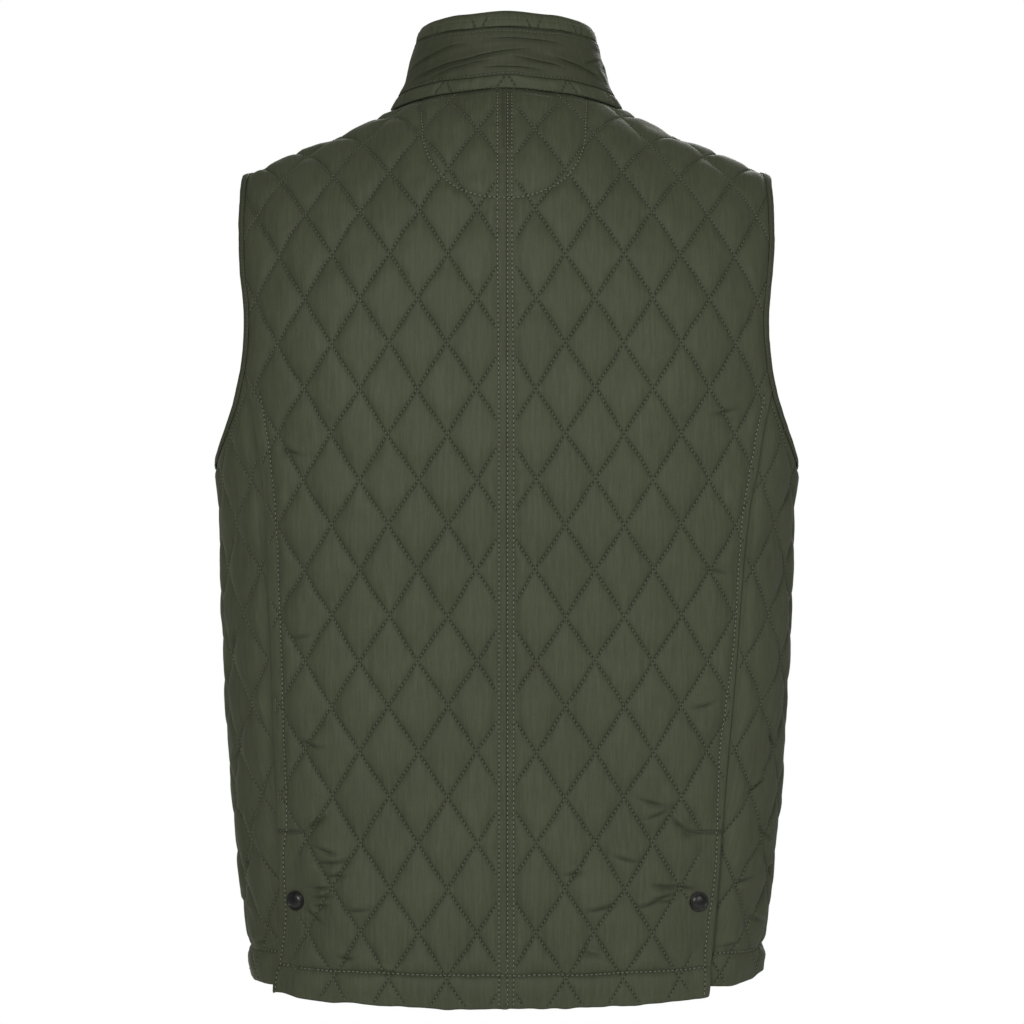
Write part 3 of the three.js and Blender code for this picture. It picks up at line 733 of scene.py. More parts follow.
    def seam_top(self, side: Side) -> float:
        """Height at which the armhole's edge meets the back side seam."""
        z = self.armhole_middle - 1
        margin = self.cloth_under_binding
        while (float(self.form.side_length(Face.BACK, z) - self.armhole_width(np.array(z), margin))
               < self.seam_across(side, z)):
            z -= 0.5
        return z

    def front(self, side: Side) -> Array:
        """Outline of one front, which wraps round the side and laps under the back at the vent."""
        form = self.form
        margin = self.cloth_under_binding
        floor = self.hem_front - form.yoke
        lap_angle = -math.asin(self.lap_beyond / self.neck_half_width)
        points = [[-self.lap_beyond, floor]]
        points += self._neck(Face.FRONT, lap_angle, -self.lap_beyond)
        points += self._shoulder(Face.FRONT, tuple(points[-1]))
        top = self.seam_top(side)
        drop = self.armhole_drop + margin
        end = math.pi - math.asin(min((self.armhole_middle - top) / drop, 1.0))
        for angle in np.linspace(0.0, end, 60):
            z = self.armhole_middle - drop * math.sin(angle)
            width = math.copysign(float(self.armhole_width(np.array(z), margin)), math.cos(angle))
            points.append([float(form.side_length(Face.FRONT, z)) - width, z - form.yoke])
        for z in np.linspace(top - 3, self.vent_top, 90):
            points.append([self.front_reach(side, z), z - form.yoke])
        for z in np.linspace(self.vent_top - 1.5, self.hem_front, 30):
            points.append([self.front_reach(side, z) + self.vent_underlap, z - form.yoke])
        across = np.linspace(points[-1][0], -self.lap_beyond, 110)[1:-1]
        lift = (1.0 if side is Side.LEFT else 8.0) * bell(across - 262, 55)
        hem = np.stack([across, floor + lift], 1).tolist()
        return np.array(points + self.waved(hem, 5 if side is Side.LEFT else 6))

    def sinking(self, side: Side, laps: bool, across: Array, up: Array) -> tuple[Array, Array]:
        """How far a front sinks under the back at the vent and under its fellow at the lap.

        Args:
            side: The front's side.
            laps: Whether this front passes under its fellow.
            across: Flat measure of each place.
            up: Flat measure of each place.

        Returns:
            The depth, and the share of its padding that the cloth keeps.
        """
        z = self.form.yoke + up
        heights = np.linspace(self.hem_front - 4, self.vent_top, 12)
        reaches = np.array([self.front_reach(side, h) for h in heights])
        before = np.interp(z, heights, reaches) - across
        low = 1 - smoothstep(z, self.vent_top, self.vent_top + self.vent_ramp)
        share = low * (1 - smoothstep(before, 0, self.vent_reach))
        if laps:
            at_lap = 1 - smoothstep(across, self.lap_beyond + 4, self.lap_beyond + self.lap_ramp)
            share = np.maximum(share, at_lap)
        return (self.wall + self.lap_gap) * share, 1 - share


def make_object(name: str, points: Array, faces: Array, uvs: Array | None = None,
                shades: dict[str, Array] | None = None) -> bpy.types.Object:
    """Makes a mesh object from points in metres and faces of one size.

    Args:
        name: The piece's name.
        points: Rows of x, y and z.
        faces: Rows of point numbers.
        uvs: Rows of two flat measures in metres, one for each point.
        shades: Named shares from 0 to 1 that the finishes read, one for each point.

    Returns:
        The object, linked to the scene.
    """
    mesh = bpy.data.meshes.new(name)
    mesh.vertices.add(len(points))
    mesh.vertices.foreach_set("co", points.astype(np.float32).ravel())
    mesh.loops.add(faces.size)
    mesh.loops.foreach_set("vertex_index", faces.astype(np.int32).ravel())
    mesh.polygons.add(len(faces))
    size = faces.shape[1]
    mesh.polygons.foreach_set("loop_start", np.arange(0, faces.size, size, dtype=np.int32))
    mesh.polygons.foreach_set("loop_total", np.full(len(faces), size, dtype=np.int32))
    mesh.update(calc_edges=True)
    mesh.validate()
    if uvs is not None:
        layer = mesh.uv_layers.new(name="cloth")
        layer.data.foreach_set("uv", uvs[faces.ravel()].astype(np.float32).ravel())
    for word, values in (shades or {}).items():
        shade = mesh.attributes.new(word, "FLOAT", "POINT")
        shade.data.foreach_set("value", values.astype(np.float32))
    mesh.polygons.foreach_set("use_smooth", np.ones(len(mesh.polygons), dtype=bool))
    piece = bpy.data.objects.new(name, mesh)
    bpy.context.scene.collection.objects.link(piece)
    return piece


@dataclass
class Sewing:
    """Stitches gathered into one piece, in two tones, with flat dark discs of painted shade at their needle
    holes.
    """

    parts: list[tuple[int, Array, Array]] = field(default_factory=list)

    def add(self, thread: Thread, centres: Array, along: Array, out: Array) -> None:
        """Sews one stitch at each place, arguments as in Thread.place."""
        if len(centres):
            self.parts.append((int(thread.pale), *thread.place(centres, along, out)))
            # Each needle pit gets a flat dark disc of painted shade.
            if thread.dimple:
                self.parts.append((2, *thread.holes(centres, along, out)))

    def finish(self, name: str, finish: Finishes) -> bpy.types.Object:
        """Makes the piece of all the stitches."""
        points, faces, slots, count = [], [], [], 0
        for slot, part, triangles in self.parts:
            points.append(part)
            faces.append(triangles + count)
            slots.append(np.full(len(triangles), slot, dtype=np.int32))
            count += len(part)
        piece = make_object(name, np.concatenate(points), np.concatenate(faces))
        for material in (finish.quilt_thread, finish.seam_thread, finish.hole):
            piece.data.materials.append(material)
        piece.data.polygons.foreach_set("material_index", np.concatenate(slots))
        return piece


def fill_outline(border: Array, inner: Array) -> tuple[Array, Array]:
    """Triangles over an outline that use all the inner points.

    Args:
        border: Rows of across and up round the outline.
        inner: Rows of across and up inside it.

    Returns:
        All the points, the border's first, and rows of three point numbers.
    """
    points = np.concatenate([border, inner])
    count = len(border)
    edges = [(i, (i + 1) % count) for i in range(count)]
    flat, _edges, faces, originals, _edge_ids, _face_ids = delaunay_2d_cdt(
        [Vector(p) for p in points], edges, [], 1, 1e-5)
    number = np.array([ids[0] if ids else -1 for ids in originals])
    if (number < 0).any() or len(flat) != len(points):
        raise ValueError("an outline crosses itself or has double points")
    return points, number[np.array([tuple(face) for face in faces])]


def sweep(rings: Array, closed: bool) -> Array:
    """Rows of four point numbers that join rings of points, each ring joined end to end.

    Args:
        rings: Points by ring and place, of which only the shape is read.
        closed: Whether the last ring joins the first, and otherwise both ends stay open.

    Returns:
        The faces.
    """
    count, size = rings.shape[:2]
    i = np.arange(count if closed else count - 1)[:, None]
    j = np.arange(size)[None, :]
    here = i * size
    after = ((i + 1) % count) * size
    nxt = (j + 1) % size
    return np.stack([here + j, here + nxt, after + nxt, after + j], -1).reshape(-1, 4)


def inside(outline: Array, points: Array) -> Array:
    """Whether each point lies inside an outline."""
    x, y = points[:, 0], points[:, 1]
    result = np.zeros(len(points), dtype=bool)
    for (ax, ay), (bx, by) in zip(outline, np.roll(outline, -1, axis=0)):
        if ay == by:
            continue
        crosses = (ay > y) != (by > y)
        result ^= crosses & (x < (bx - ax) * (y - ay) / (by - ay) + ax)
    return result


@dataclass(frozen=True)
class Thread:
    """Sewing thread: how long, thick and far apart its stitches are, in millimetres."""

    pitch: float = 3.4
    length: float = 2.2
    radius: float = 0.4
    sides: int = 5
    # Size of the flat dark disc of painted shade at each needle pit, or none.
    dimple: float = 0.0
    dimple_sides: int = 6
    pale: bool = False

    def place(self, centres: Array, along: Array, out: Array) -> tuple[Array, Array]:
        """Lays one stitch at each place.

        Args:
            centres: Place of each stitch's middle, in metres.
            along: Unit direction of each stitch.
            out: Unit direction away from the cloth at each stitch.

        Returns:
            The points in metres and the triangles of all stitches.
        """
        turns = np.arange(self.sides) / self.sides * 2 * math.pi
        local = [(-0.5, 0.0, -1.1)]
        for end in (-0.28, 0.28):
            local += [(end, math.cos(turn), math.sin(turn)) for turn in turns]
        local.append((0.5, 0.0, -1.1))
        shape = np.array(local) * np.array([self.length, self.radius, self.radius]) * MM
        n = self.sides
        faces = []
        for k in range(n):
            m = (k + 1) % n
            faces += [(0, 1 + m, 1 + k), (1 + k, 1 + m, 1 + n + m), (1 + k, 1 + n + m, 1 + n + k),
                      (1 + 2 * n, 1 + n + k, 1 + n + m)]
        return self.repeat(shape, np.array(faces), centres, along, out)

    @staticmethod
    def repeat(shape: Array, faces: Array, centres: Array, along: Array, out: Array) -> tuple[Array, Array]:
        """Copies a small shape to each place, its X along the stitch and its Z out of the cloth."""
        points = centres[:, None]
        for k, way in enumerate((along, np.cross(along, out), out)):
            points = points + shape[None, :, k:k + 1] * way[:, None]
        triangles = faces[None] + (np.arange(len(centres)) * len(shape))[:, None, None]
        return points.reshape(-1, 3), triangles.reshape(-1, 3)

    def holes(self, centres: Array, along: Array, out: Array) -> tuple[Array, Array]:
        """Lays a flat dark disc of painted shade in the needle's pit after each stitch, arguments as in
        place.
        """
        n = self.dimple_sides
        turns = np.arange(n) / n * 2 * math.pi
        rim = np.stack([np.cos(turns) * 0.9, np.sin(turns), np.zeros(n)], 1)
        shape = np.concatenate([[[0.0, 0.0, 0.0]], rim]) * self.dimple * MM
        middle = centres + along * (self.pitch / 2 * MM)
        faces = np.array([(0, 1 + (k + 1) % n, 1 + k) for k in range(n)])
        return self.repeat(shape, faces, middle, along, out)


@dataclass
class SeamRow:
    """A row of stitching on a panel: its flat path, how it holds the cloth down, and the painted shade beside
    it.
    """

    path: Array
    thread: Thread
    depth: float = 0.55
    width: float = 1.1
    hold: float = 4.0
    # Strength of the painted shade along the row.
    shade: float = 0.6
    ripple: float = 0.34


@dataclass
class Spots:
    """Places on a flat panel, each with its distance from the edge and from the seam rows."""

    across: Array
    up: Array
    edge: Array
    rows: list[tuple[Array, Array]]


@dataclass
class Panel:
    """A quilted panel: its outline, its relief and its stitches."""

    name: str
    face: Face
    side: Side
    pattern: Pattern
    quilting: Quilting
    outline: Array
    folds: tuple[Fold, ...]
    studs: list[Pair]
    rows: list[SeamRow] = field(default_factory=list)
    laps: bool = False
    divisions: int = 20
    thread: Thread = Thread()
    stud_flat: float = 10.0
    stud_fade: float = 30.0
    hem_band: float = 26.0
    hem_rise: float = 0.45
    hem_puff: float = 1.0
    rounding: float = 1.05
    seam_rounding: float = 0.12
    middle_reach: float = 3.0
    row_reach: float = 24.0
    pad_span: Pair = (4.6, 12.5)
    sewn_from_edge: Pair = (2.2, 3.4)
    sewn_from_stud: Pair = (7.4, 8.4)
    sewn_from_middle: Pair = (6.6, 8.0)
    row_from_stud: Pair = (7.5, 8.0)
    crease_from_stud: Pair = (8.5, 13.0)
    vent_strip: Pair = (15.0, 24.0)
    vent_below: Pair = (2.0, 14.0)
    # Strengths and reaches of the painted shade: in the quilting valleys, by the centre back, at the edges
    # and below the collar.
    valley_shade: float = 0.4
    valley_reach: float = 2.4
    middle_shade: float = 0.28
    middle_span: Pair = (5.0, 7.5)
    edge_shade: float = 0.9
    collar_shade: float = 0.85
    collar_box: Pair = (88.0, 165.0)
    seam_hold: float = 0.9
    ripple_reach: float = 7.0
    side_lift: float = 0.5
    side_top: float = -20.0
    stitch_lift: float = 0.2
    soft: float = 0.68
    gathers: float = 0.34
    border_step: float = 1.7
    outer_rings: tuple[float, ...] = (0.3, 0.8, 1.7)
    inner_rings: tuple[float, ...] = (0.8,)
    inner_divisions: int = 5
    outer_clear: float = 2.5
    inner_clear: float = 3.0
    beside: tuple[float, ...] = (-2.2, -1.1, 0.0, 1.1, 2.2)
    beside_step: float = 1.5
    beside_gap: float = 0.8
    beside_clear: float = 2.9
    beside_near: float = 4.0

    @property
    def wall(self) -> float:
        """Thickness of the flat cloth."""
        return self.pattern.wall

    @property
    def key(self) -> int:
        """A number of the panel's own, for its small irregular shapes."""
        return 40 + 3 * (self.face is Face.FRONT) + 7 * (self.side is Side.LEFT)

    def seam_side(self, across: Array, up: Array) -> Array:
        """Distance from the back side seam, inwards."""
        heights = np.linspace(-700, -225, 40)
        if self.face is Face.BACK:
            reach = [self.pattern.seam_across(self.side, h) for h in heights]
        else:
            reach = [self.pattern.front_reach(self.side, h) for h in heights]
        return np.interp(self.pattern.form.yoke + up, heights, reach) - across

    def at_middle(self, across: Array) -> Array:
        """Whether each place lies by the centre back seam, where the halves meet flat."""
        return (across < self.middle_reach) & (self.face is Face.BACK)

    def vent_share(self, across: Array, up: Array) -> Array:
        """How far each place lies in the flat strip beside a vent's edge."""
        if self.face is Face.FRONT:
            return np.zeros(np.shape(across))
        top = self.pattern.form.yoke - self.pattern.vent_top
        below = smoothstep(-up, top - self.vent_below[1], top - self.vent_below[0])
        return below * (1 - smoothstep(self.seam_side(across, up), *self.vent_strip))

    def spots(self, points: Array, edge: Array | None = None) -> Spots:
        """Measures places once for all the relief's parts."""
        if edge is None:
            edge = distance_to(self.outline, points, True)[0]
        rows = [distance_to(row.path, points, False, self.row_reach) for row in self.rows]
        return Spots(points[:, 0], points[:, 1], edge, rows)

    def clear(self, spots: Spots, first: float, last: float) -> Array:
        """A share that grows from none to all between two distances from the nearest stud."""
        share = np.ones(len(spots.across))
        for a, u in self.studs:
            gap = np.hypot(spots.across - a, spots.up - u)
            share = np.minimum(share, smoothstep(gap, first, last))
        return share

    def sewn(self, spots: Spots) -> Array:
        """Where the quilting stitches run, from 0 to 1."""
        share = smoothstep(spots.edge, *self.sewn_from_edge) * self.clear(spots, *self.sewn_from_stud)
        share *= 1 - smoothstep(self.vent_share(spots.across, spots.up), 0.4, 0.6)
        if self.face is Face.BACK:
            share *= smoothstep(spots.across, *self.sewn_from_middle)
        return share

    def padding(self, spots: Spots) -> tuple[Array, Array, Array]:
        """Shares of the wadding's rise and of the folds, and the depth that the cloth sinks."""
        across, up = spots.across, spots.up
        share = smoothstep(spots.edge, *self.pad_span) * (1 - 0.85 * self.vent_share(across, up))
        near = self.clear(spots, self.stud_flat, self.stud_flat + self.stud_fade)
        hem_up = self.pattern.form.yoke + up - self.pattern.hem_middle
        in_hem = 1 - (1 - self.hem_rise) * (1 - smoothstep(hem_up, self.hem_band, self.hem_band + 12))
        sink = np.zeros(np.shape(across))
        flat = np.ones(np.shape(across))
        if self.face is Face.FRONT:
            sink, flat = self.pattern.sinking(self.side, self.laps, across, up)
        return share * near * in_hem * flat, near * flat, sink

    def painted_shade(self, spots: Spots) -> Array:
        """How much painted shade darkens each place, from 0 to 1: along the quilting valleys, beside the seam
        rows, in the creases, by the centre back, at the edges and below the collar.
        """
        pad = self.padding(spots)[0]
        p, q = self.quilting.lines(spots.across, spots.up)
        gap = np.minimum(np.abs(p - np.round(p)), np.abs(q - np.round(q))) * self.quilting.spacing
        # Painted shade along the quilting valleys, stronger where the wadding is full.
        share = self.valley_shade * np.exp(-((gap / self.valley_reach) ** 1.3)) * (0.25 + 0.75 * pad)
        for row, (near, _along) in zip(self.rows, spots.rows):
            share = np.maximum(share, row.shade * bell(near, 1.25))
        for fold in self.folds:
            if isinstance(fold, Crease):
                share = np.maximum(share, fold.shade(spots.across, spots.up))
        middle = self.at_middle(spots.across)
        if self.face is Face.BACK:
            by_middle = 1 - smoothstep(spots.across, *self.middle_span)
            share = np.maximum(share, self.middle_shade * by_middle)
        share = np.where(middle, share, np.maximum(share, self.edge_shade * bell(spots.edge, 1.0)))
        # Painted shadow on the back just below the collar's foot.
        by_collar = (spots.across < self.collar_box[0]) & (spots.up > self.collar_box[1])
        return np.maximum(share, self.collar_shade * by_collar * bell(spots.edge - 2.6, 1.9))

    def relief(self, spots: Spots) -> Array:
        """Height of the outer face over the stitch level, in millimetres, at each place."""
        across, up, edge = spots.across, spots.up, spots.edge
        pad, free, sink = self.padding(spots)
        held = np.ones(len(across))
        drop = np.zeros(len(across))
        ripple = np.zeros(len(across))
        for number, (row, (gap, along)) in enumerate(zip(self.rows, spots.rows)):
            held *= 1 - self.seam_hold * bell(gap, row.hold)
            drop += row.depth * bell(gap, row.width)
            wave = rumple(along / 6.0, np.full(len(along), number * 3.7), self.key)
            wave += 0.5 * rumple(along / 3.2, np.full(len(along), number * 5.3), self.key + 1)
            ripple += row.ripple * wave * bell(gap, self.ripple_reach)
        key = self.key
        lean = across * 0.35
        soft = rumple(across / 34, up / 21, key) + 0.6 * rumple((across + up * 0.5) / 13, up / 19, key + 1)
        soft += 0.4 * rumple((across - lean) / 7.5, (up + lean) / 11, key + 2)
        height = self.quilting.rise * pad * held * self.quilting.pillow(across, up)
        height += self.gathers * self.quilting.pucker(across, up) * np.clip(pad + 0.15, 0, 1)
        height += self.soft * soft * (0.35 + 0.65 * pad) * free * smoothstep(edge, 0, 8)
        height += ripple * smoothstep(edge, 0.3, 4) - drop
        clear = self.clear(spots, *self.crease_from_stud) * (1 - np.clip(sink, 0, 1))
        bend = np.zeros(len(across))
        for fold in self.folds:
            if isinstance(fold, Crease):
                height += fold.rise(across, up) * clear
            else:
                bend += fold.rise(across, up) * free
        height += self.hem_roll(across, up)
        lapped = self.seam_side(across, up)
        if self.face is Face.BACK:
            height += self.side_lift * (1 - smoothstep(lapped, 5, 11)) * (up < self.side_top)
        else:
            height -= self.side_lift * (1 - smoothstep(lapped, 1.5, 9)) * (up < self.side_top) * free
        height -= rounded(edge, np.where(self.at_middle(across), self.seam_rounding, self.rounding))
        return np.maximum(height, 0.6 - self.wall) + bend - sink

    def hem_roll(self, across: Array, up: Array) -> Array:
        """The soft turned-up hem below its stitch row."""
        floor = self.pattern.hem_middle if self.face is Face.BACK else self.pattern.hem_front
        share = (self.pattern.form.yoke + up - floor) / self.hem_band
        roll = np.clip(4 * share * (1 - share), 0, 1) ** 0.7 * (share < 1)
        puff = self.hem_puff * (0.8 + 0.35 * rumple(across / 17, np.full(np.shape(across), 3.0), self.key))
        return roll * puff

    def cloth(self) -> bpy.types.Object:
        """Builds the panel as a closed body, its outer face fine and its inner face plain."""
        border = resample(self.outline, self.border_step, True)
        ahead = np.roll(border, -1, axis=0) - np.roll(border, 1, axis=0)
        inward = sideways(ahead)
        if signed_area(border) < 0:
            inward = -inward
        box = (*(border.min(0) - 1), *(border.max(0) + 1))
        layers = []
        for outer in (True, False):
            depths = self.outer_rings if outer else self.inner_rings
            rings = [border + inward * depth for depth in depths]
            lattice = self.quilting.lattice(box, self.divisions if outer else self.inner_divisions)
            beside = self._beside_rows() if outer else np.zeros((0, 2))
            for path in self.fine_paths() if outer else []:
                lattice = lattice[distance_to(path, lattice, False, self.beside_near)[0] > self.beside_clear]
            inner = np.concatenate([*rings, lattice, beside])
            clear = self.outer_clear if outer else self.inner_clear
            least = np.concatenate([np.full(len(border), depth * 0.92) for depth in depths]
                                   + [np.full(len(lattice) + len(beside), clear)])
            keep = inside(border, inner)
            inner, least = inner[keep], least[keep]
            edge = distance_to(border, inner, True)[0]
            keep = edge > least
            points, faces = fill_outline(border, inner[keep])
            edge = np.concatenate([np.zeros(len(border)), edge[keep]])
            spots = self.spots(points, edge)
            if outer:
                rise = self.relief(spots)
                rise[:len(border)] -= 0.25
                layers.append((points, faces, rise, edge, self.sewn(spots), self.painted_shade(spots)))
            else:
                rise = self._inner_rise(spots)
                layers.append((points, faces, rise, edge, 0.6 * self.sewn(spots), np.zeros(len(points))))
        count = len(border)
        shift = len(layers[0][0]) - count
        faces = layers[1][1]
        inner_faces = np.where(faces < count, faces, faces + shift)[:, ::-1]
        outer_faces = layers[0][1]
        flat, rise, far, sewn, painted_shade = (
            np.concatenate([layers[0][k], layers[1][k][count:]]) for k in (0, 2, 3, 4, 5))
        place = self.worn(flat[:, 0], flat[:, 1], far, rise)
        faces = np.concatenate([outer_faces, inner_faces])
        if self.face.value * self.side.value > 0:
            faces = faces[:, ::-1]
        # Two shares per point: the painted shade that darkens the cloth's colour, and where the quilting
        # stitches run.
        return make_object(f"{self.name}_cloth", place, faces, flat * MM, {"painted_shade": painted_shade, "sewn": sewn})

    def fine_paths(self) -> list[Array]:
        """The flat lines beside which the relief is narrow."""
        return [row.path for row in self.rows] + [
            fold.path() for fold in self.folds if isinstance(fold, Crease)]

    def _beside_rows(self) -> Array:
        """Points on and close beside the seam rows and creases, so that these are smooth."""
        kept = np.zeros((0, 2))
        for path in self.fine_paths():
            path = resample(path, self.beside_step, False)
            ahead = np.gradient(path, axis=0)
            aside = sideways(ahead)
            for shift in self.beside:
                line = path + aside * shift
                near = kept[((kept > line.min(0) - 1) & (kept < line.max(0) + 1)).all(1)]
                if len(near):
                    gap = np.hypot(*(line[:, None] - near[None]).transpose(2, 0, 1)).min(1)
                    line = line[gap > self.beside_gap]
                kept = np.concatenate([kept, line])
        return kept

    def worn(self, across: Array, up: Array, edge: Array, rise: Array) -> Array:
        """Places in metres over the worn panel, with the slight wander of hand-guided stitching."""
        share = smoothstep(edge, 3, 22)
        key = self.key
        aside = 0.75 * rumple(across / 31, up / 27, key + 5) + 0.3 * rumple(across / 11, up / 9, key + 6)
        climb = 0.9 * rumple(across / 29, up / 33, key + 7) + 0.3 * rumple(across / 9, up / 11, key + 8)
        return self.pattern.form.raised(
            self.face, self.side, across + share * aside, up + share * climb, rise)

    def _inner_rise(self, spots: Spots) -> Array:
        """Height of the plain inner face: its edge turns up to meet the outer face."""
        free, sink = self.padding(spots)[1:]
        rise = -self.wall - sink
        for fold in self.folds:
            if not isinstance(fold, Crease):
                rise = rise + fold.rise(spots.across, spots.up) * free
        return rise + rounded(spots.edge, 1.0)

    def sew(self, sewing: Sewing, thread: Thread, centre: Array, direction: Array) -> None:
        """Sews a stitch at each flat place, on the panel alone and clear of its edge and studs."""
        keep = inside(self.outline, centre)
        centre, direction = centre[keep], direction[keep]
        spots = self.spots(centre)
        if thread is self.thread:
            keep = self.sewn(spots) > 0.5
        else:
            keep = (spots.edge > 0.6) & (self.clear(spots, *self.row_from_stud) > 0.5)
        centre, direction = centre[keep], direction[keep]
        if not len(centre):
            return
        spots = self.spots(centre, spots.edge[keep])
        along, rising, normal = self.pattern.form.directions(self.face, spots.across, spots.up)
        line = unit(along * direction[:, :1] + rising * direction[:, 1:])
        place = self.worn(spots.across, spots.up, spots.edge, self.relief(spots) + self.stitch_lift)
        mirror = np.array([self.side.value, 1.0, 1.0])
        sewing.add(thread, place, line * mirror, normal * mirror)

    def stitches(self, finish: Finishes) -> bpy.types.Object:
        """Builds the panel's quilting stitches and seam rows as one piece."""
        sewing = Sewing()
        box = (*self.outline.min(0), *self.outline.max(0))
        self.sew(sewing, self.thread, *self.quilting.seams(box))
        for row in self.rows:
            self.sew(sewing, row.thread, *even_places(row.path, row.thread.pitch))
        return sewing.finish(f"{self.name}_stitches", finish)

    def dress(self, finish: Finishes) -> None:
        cloth = self.cloth()
        cloth.data.materials.append(finish.quilted)
        stitches = self.stitches(finish)
        for piece in (cloth, stitches):
            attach(piece, "root")
        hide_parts(self.name)
        log.info("%s: %d faces, %d in its stitches", cloth.name, len(cloth.data.polygons),
                 len(stitches.data.polygons))


@dataclass
class Collar:
    """The quilted stand-up collar and the plain band sewn round it."""

    pattern: Pattern
    quilting: Quilting
    height: float = 59.0
    wall: float = 3.4
    side_height: float = 5.5
    top_half_width: float = 67.7
    top_depths: dict[Face, float] = field(
        default_factory=lambda: {Face.BACK: 59.0, Face.FRONT: 70.0})
    bow: float = 0.6
    spread_end: float = 0.4
    seat: float = 0.95
    layer_gap: float = 0.45
    band_wall: float = 1.2
    band_low: float = 0.2
    band_high: float = 0.83
    band_row: float = 1.9
    band_bite: float = 0.25
    band_rounding: float = 1.1
    rounding: float = 1.6
    edge_rows: tuple[float, ...] = (0.045, 0.955)
    thread_sink: float = 0.14
    columns: int = 390
    thread: Thread = Thread(pitch=3.1, length=2.1, radius=0.27)
    creases: tuple[tuple[float, ...], ...] = (
        (-0.3, 1.2, 0.58, 0.34, 0.036, 2.6),
        (-0.62, -0.05, 0.36, 0.5, 0.032, 2.2),
        (0.1, 1.0, 0.44, 0.27, 0.034, 1.9),
        (-1.2, -0.4, 0.3, 0.56, 0.036, 2.0),
        (0.35, 1.35, 0.68, 0.5, 0.034, 1.9),
        (-0.75, 0.3, 0.66, 0.74, 0.032, 1.8),
        (-0.45, 0.25, 0.28, 0.36, 0.03, 1.5),
        (-1.35, -0.8, 0.62, 0.5, 0.034, 1.6),
        (1.6, 2.6, 0.36, 0.58, 0.06, 1.3),
        (-2.5, -1.5, 0.6, 0.38, 0.06, 1.3),
    )

    @property
    def lap_turn(self) -> float:
        """The turn by which each end passes the middle of the front."""
        return self.pattern.lap_beyond / self.pattern.neck_half_width

    def point(self, turn: Array, share: Array, depth: Array) -> Array:
        """Places in millimetres at a turn round the neck, a share of the height and a depth."""
        pattern = self.pattern
        bow = self.bow * np.sin(share * math.pi)
        outwards = np.sin(turn) ** 2
        spread = pattern.neck_spread * outwards * (1 - smoothstep(share, 0, self.spread_end))
        back = np.cos(turn) >= 0
        base = np.where(back, pattern.neck_depths[Face.BACK], pattern.neck_depths[Face.FRONT])
        top = np.where(back, self.top_depths[Face.BACK], self.top_depths[Face.FRONT])
        wide = pattern.neck_half_width
        half_width = wide + (self.top_half_width - wide) * share + spread - bow - depth
        reach = base + (top - base) * share - bow - depth
        base_x = (pattern.neck_half(turn) - depth) * np.sin(turn)
        base_y = (base - depth) * np.cos(turn)
        foot = pattern.form.shoulder_height(base_x, base_y)
        fall = foot - pattern.form.shoulder_height(base_x * 1.02, base_y * 1.02)
        steep = np.hypot(1, fall / (0.02 * np.hypot(base_x, base_y)))
        return np.stack([half_width * np.sin(turn), reach * np.cos(turn),
                         foot + self.seat * steep + share * (self.height + self.side_height * outwards)], -1)

    def tuck(self, turn: Array) -> Array:
        """How far the end that tucks under sinks towards the neck."""
        lap = self.lap_turn
        return (self.wall + self.layer_gap + 0.3) * smoothstep(
            -turn, math.pi - 2.6 * lap, math.pi - 1.2 * lap)

    def arc(self, turn: Array) -> Array:
        """Length along the neck at a turn from the middle of the back."""
        return turn * (self.pattern.neck_half_width + self.pattern.neck_depths[Face.BACK]) / 2

    def strips(self, turn: Array, share: Array) -> tuple[Array, Array]:
        """Where the quilted collar shows, below and above the band."""
        below = 1 - smoothstep(share, self.band_low - 0.04, self.band_low)
        above = smoothstep(share, self.band_high, self.band_high + 0.03)
        bare = 1 - smoothstep(self.tuck(turn), 0.01, 1.0)
        return below * bare, above * bare

    def collar_rise(self, turn: Array, share: Array) -> Array:
        """Relief of the quilted collar: it shows above and below the band."""
        up = share * self.height
        below, above = self.strips(turn, share)
        edge = smoothstep(up, 0.5, 4) * smoothstep(self.height - up, 0.5, 5)
        arc = self.arc(turn)
        soft = rumple(arc / 9, up / 7, 91) + 0.5 * rumple(arc / 4.5, up / 9, 92)
        pillow = self.quilting.pillow(arc, up)
        plump = below * (0.4 + 1.3 * pillow) + above * (1.2 + 0.8 * pillow)
        return edge * (plump + 0.35 * soft * above + 0.65 * soft * below)

    def collar_marks(self, turn: Array, share: Array) -> tuple[Array, Array]:
        """Where the quilted collar has its stitches, and how much painted shade darkens it beside the band's
        edges, at its foot and at its top.
        """
        up = share * self.height
        gap = np.minimum(np.abs(share - self.band_low), np.abs(share - self.band_high)) * self.height
        # Painted shadow beside the band's edges and at the collar's foot.
        painted_shade = np.maximum(0.9 * bell(gap, 1.1), 0.9 * bell(up, 1.1))
        below, above = self.strips(turn, share)
        sewn = np.maximum(below, above) * smoothstep(np.minimum(up, self.height - up), 1.5, 2.5)
        return sewn, np.maximum(painted_shade, 0.5 * bell(self.height - up, 0.9))

    def folded(self, turn: Array, share: Array) -> tuple[Array, Array]:
        """The ridges and the troughs of the band's creases."""
        ridge = np.zeros(np.broadcast(turn, share).shape)
        trough = np.zeros_like(ridge)
        for start, end, low, high, width, depth in self.creases:
            s = np.clip((turn - start) / (end - start), 0, 1)
            over = (share - (low + (high - low) * s) - 0.02 * np.sin(s * 5)) / width
            fade = depth * np.sin(s * math.pi) ** 0.8
            ridge += fade * bell(over - 0.9, 1.1)
            trough += fade * bell(over + 0.6, 0.7)
        return ridge, trough

    def band_edge(self, share: Array) -> Array:
        """Distance from the nearer of the band's two edges."""
        return np.minimum(share - self.band_low, self.band_high - share) * self.height

    def band_marks(self, turn: Array, share: Array) -> tuple[Array, Array]:
        """No quilting stitches on the band, and how much painted shade darkens it in its crease troughs,
        beside its stitch rows and at its edges.
        """
        trough = self.folded(turn, share)[1]
        edge = self.band_edge(share)
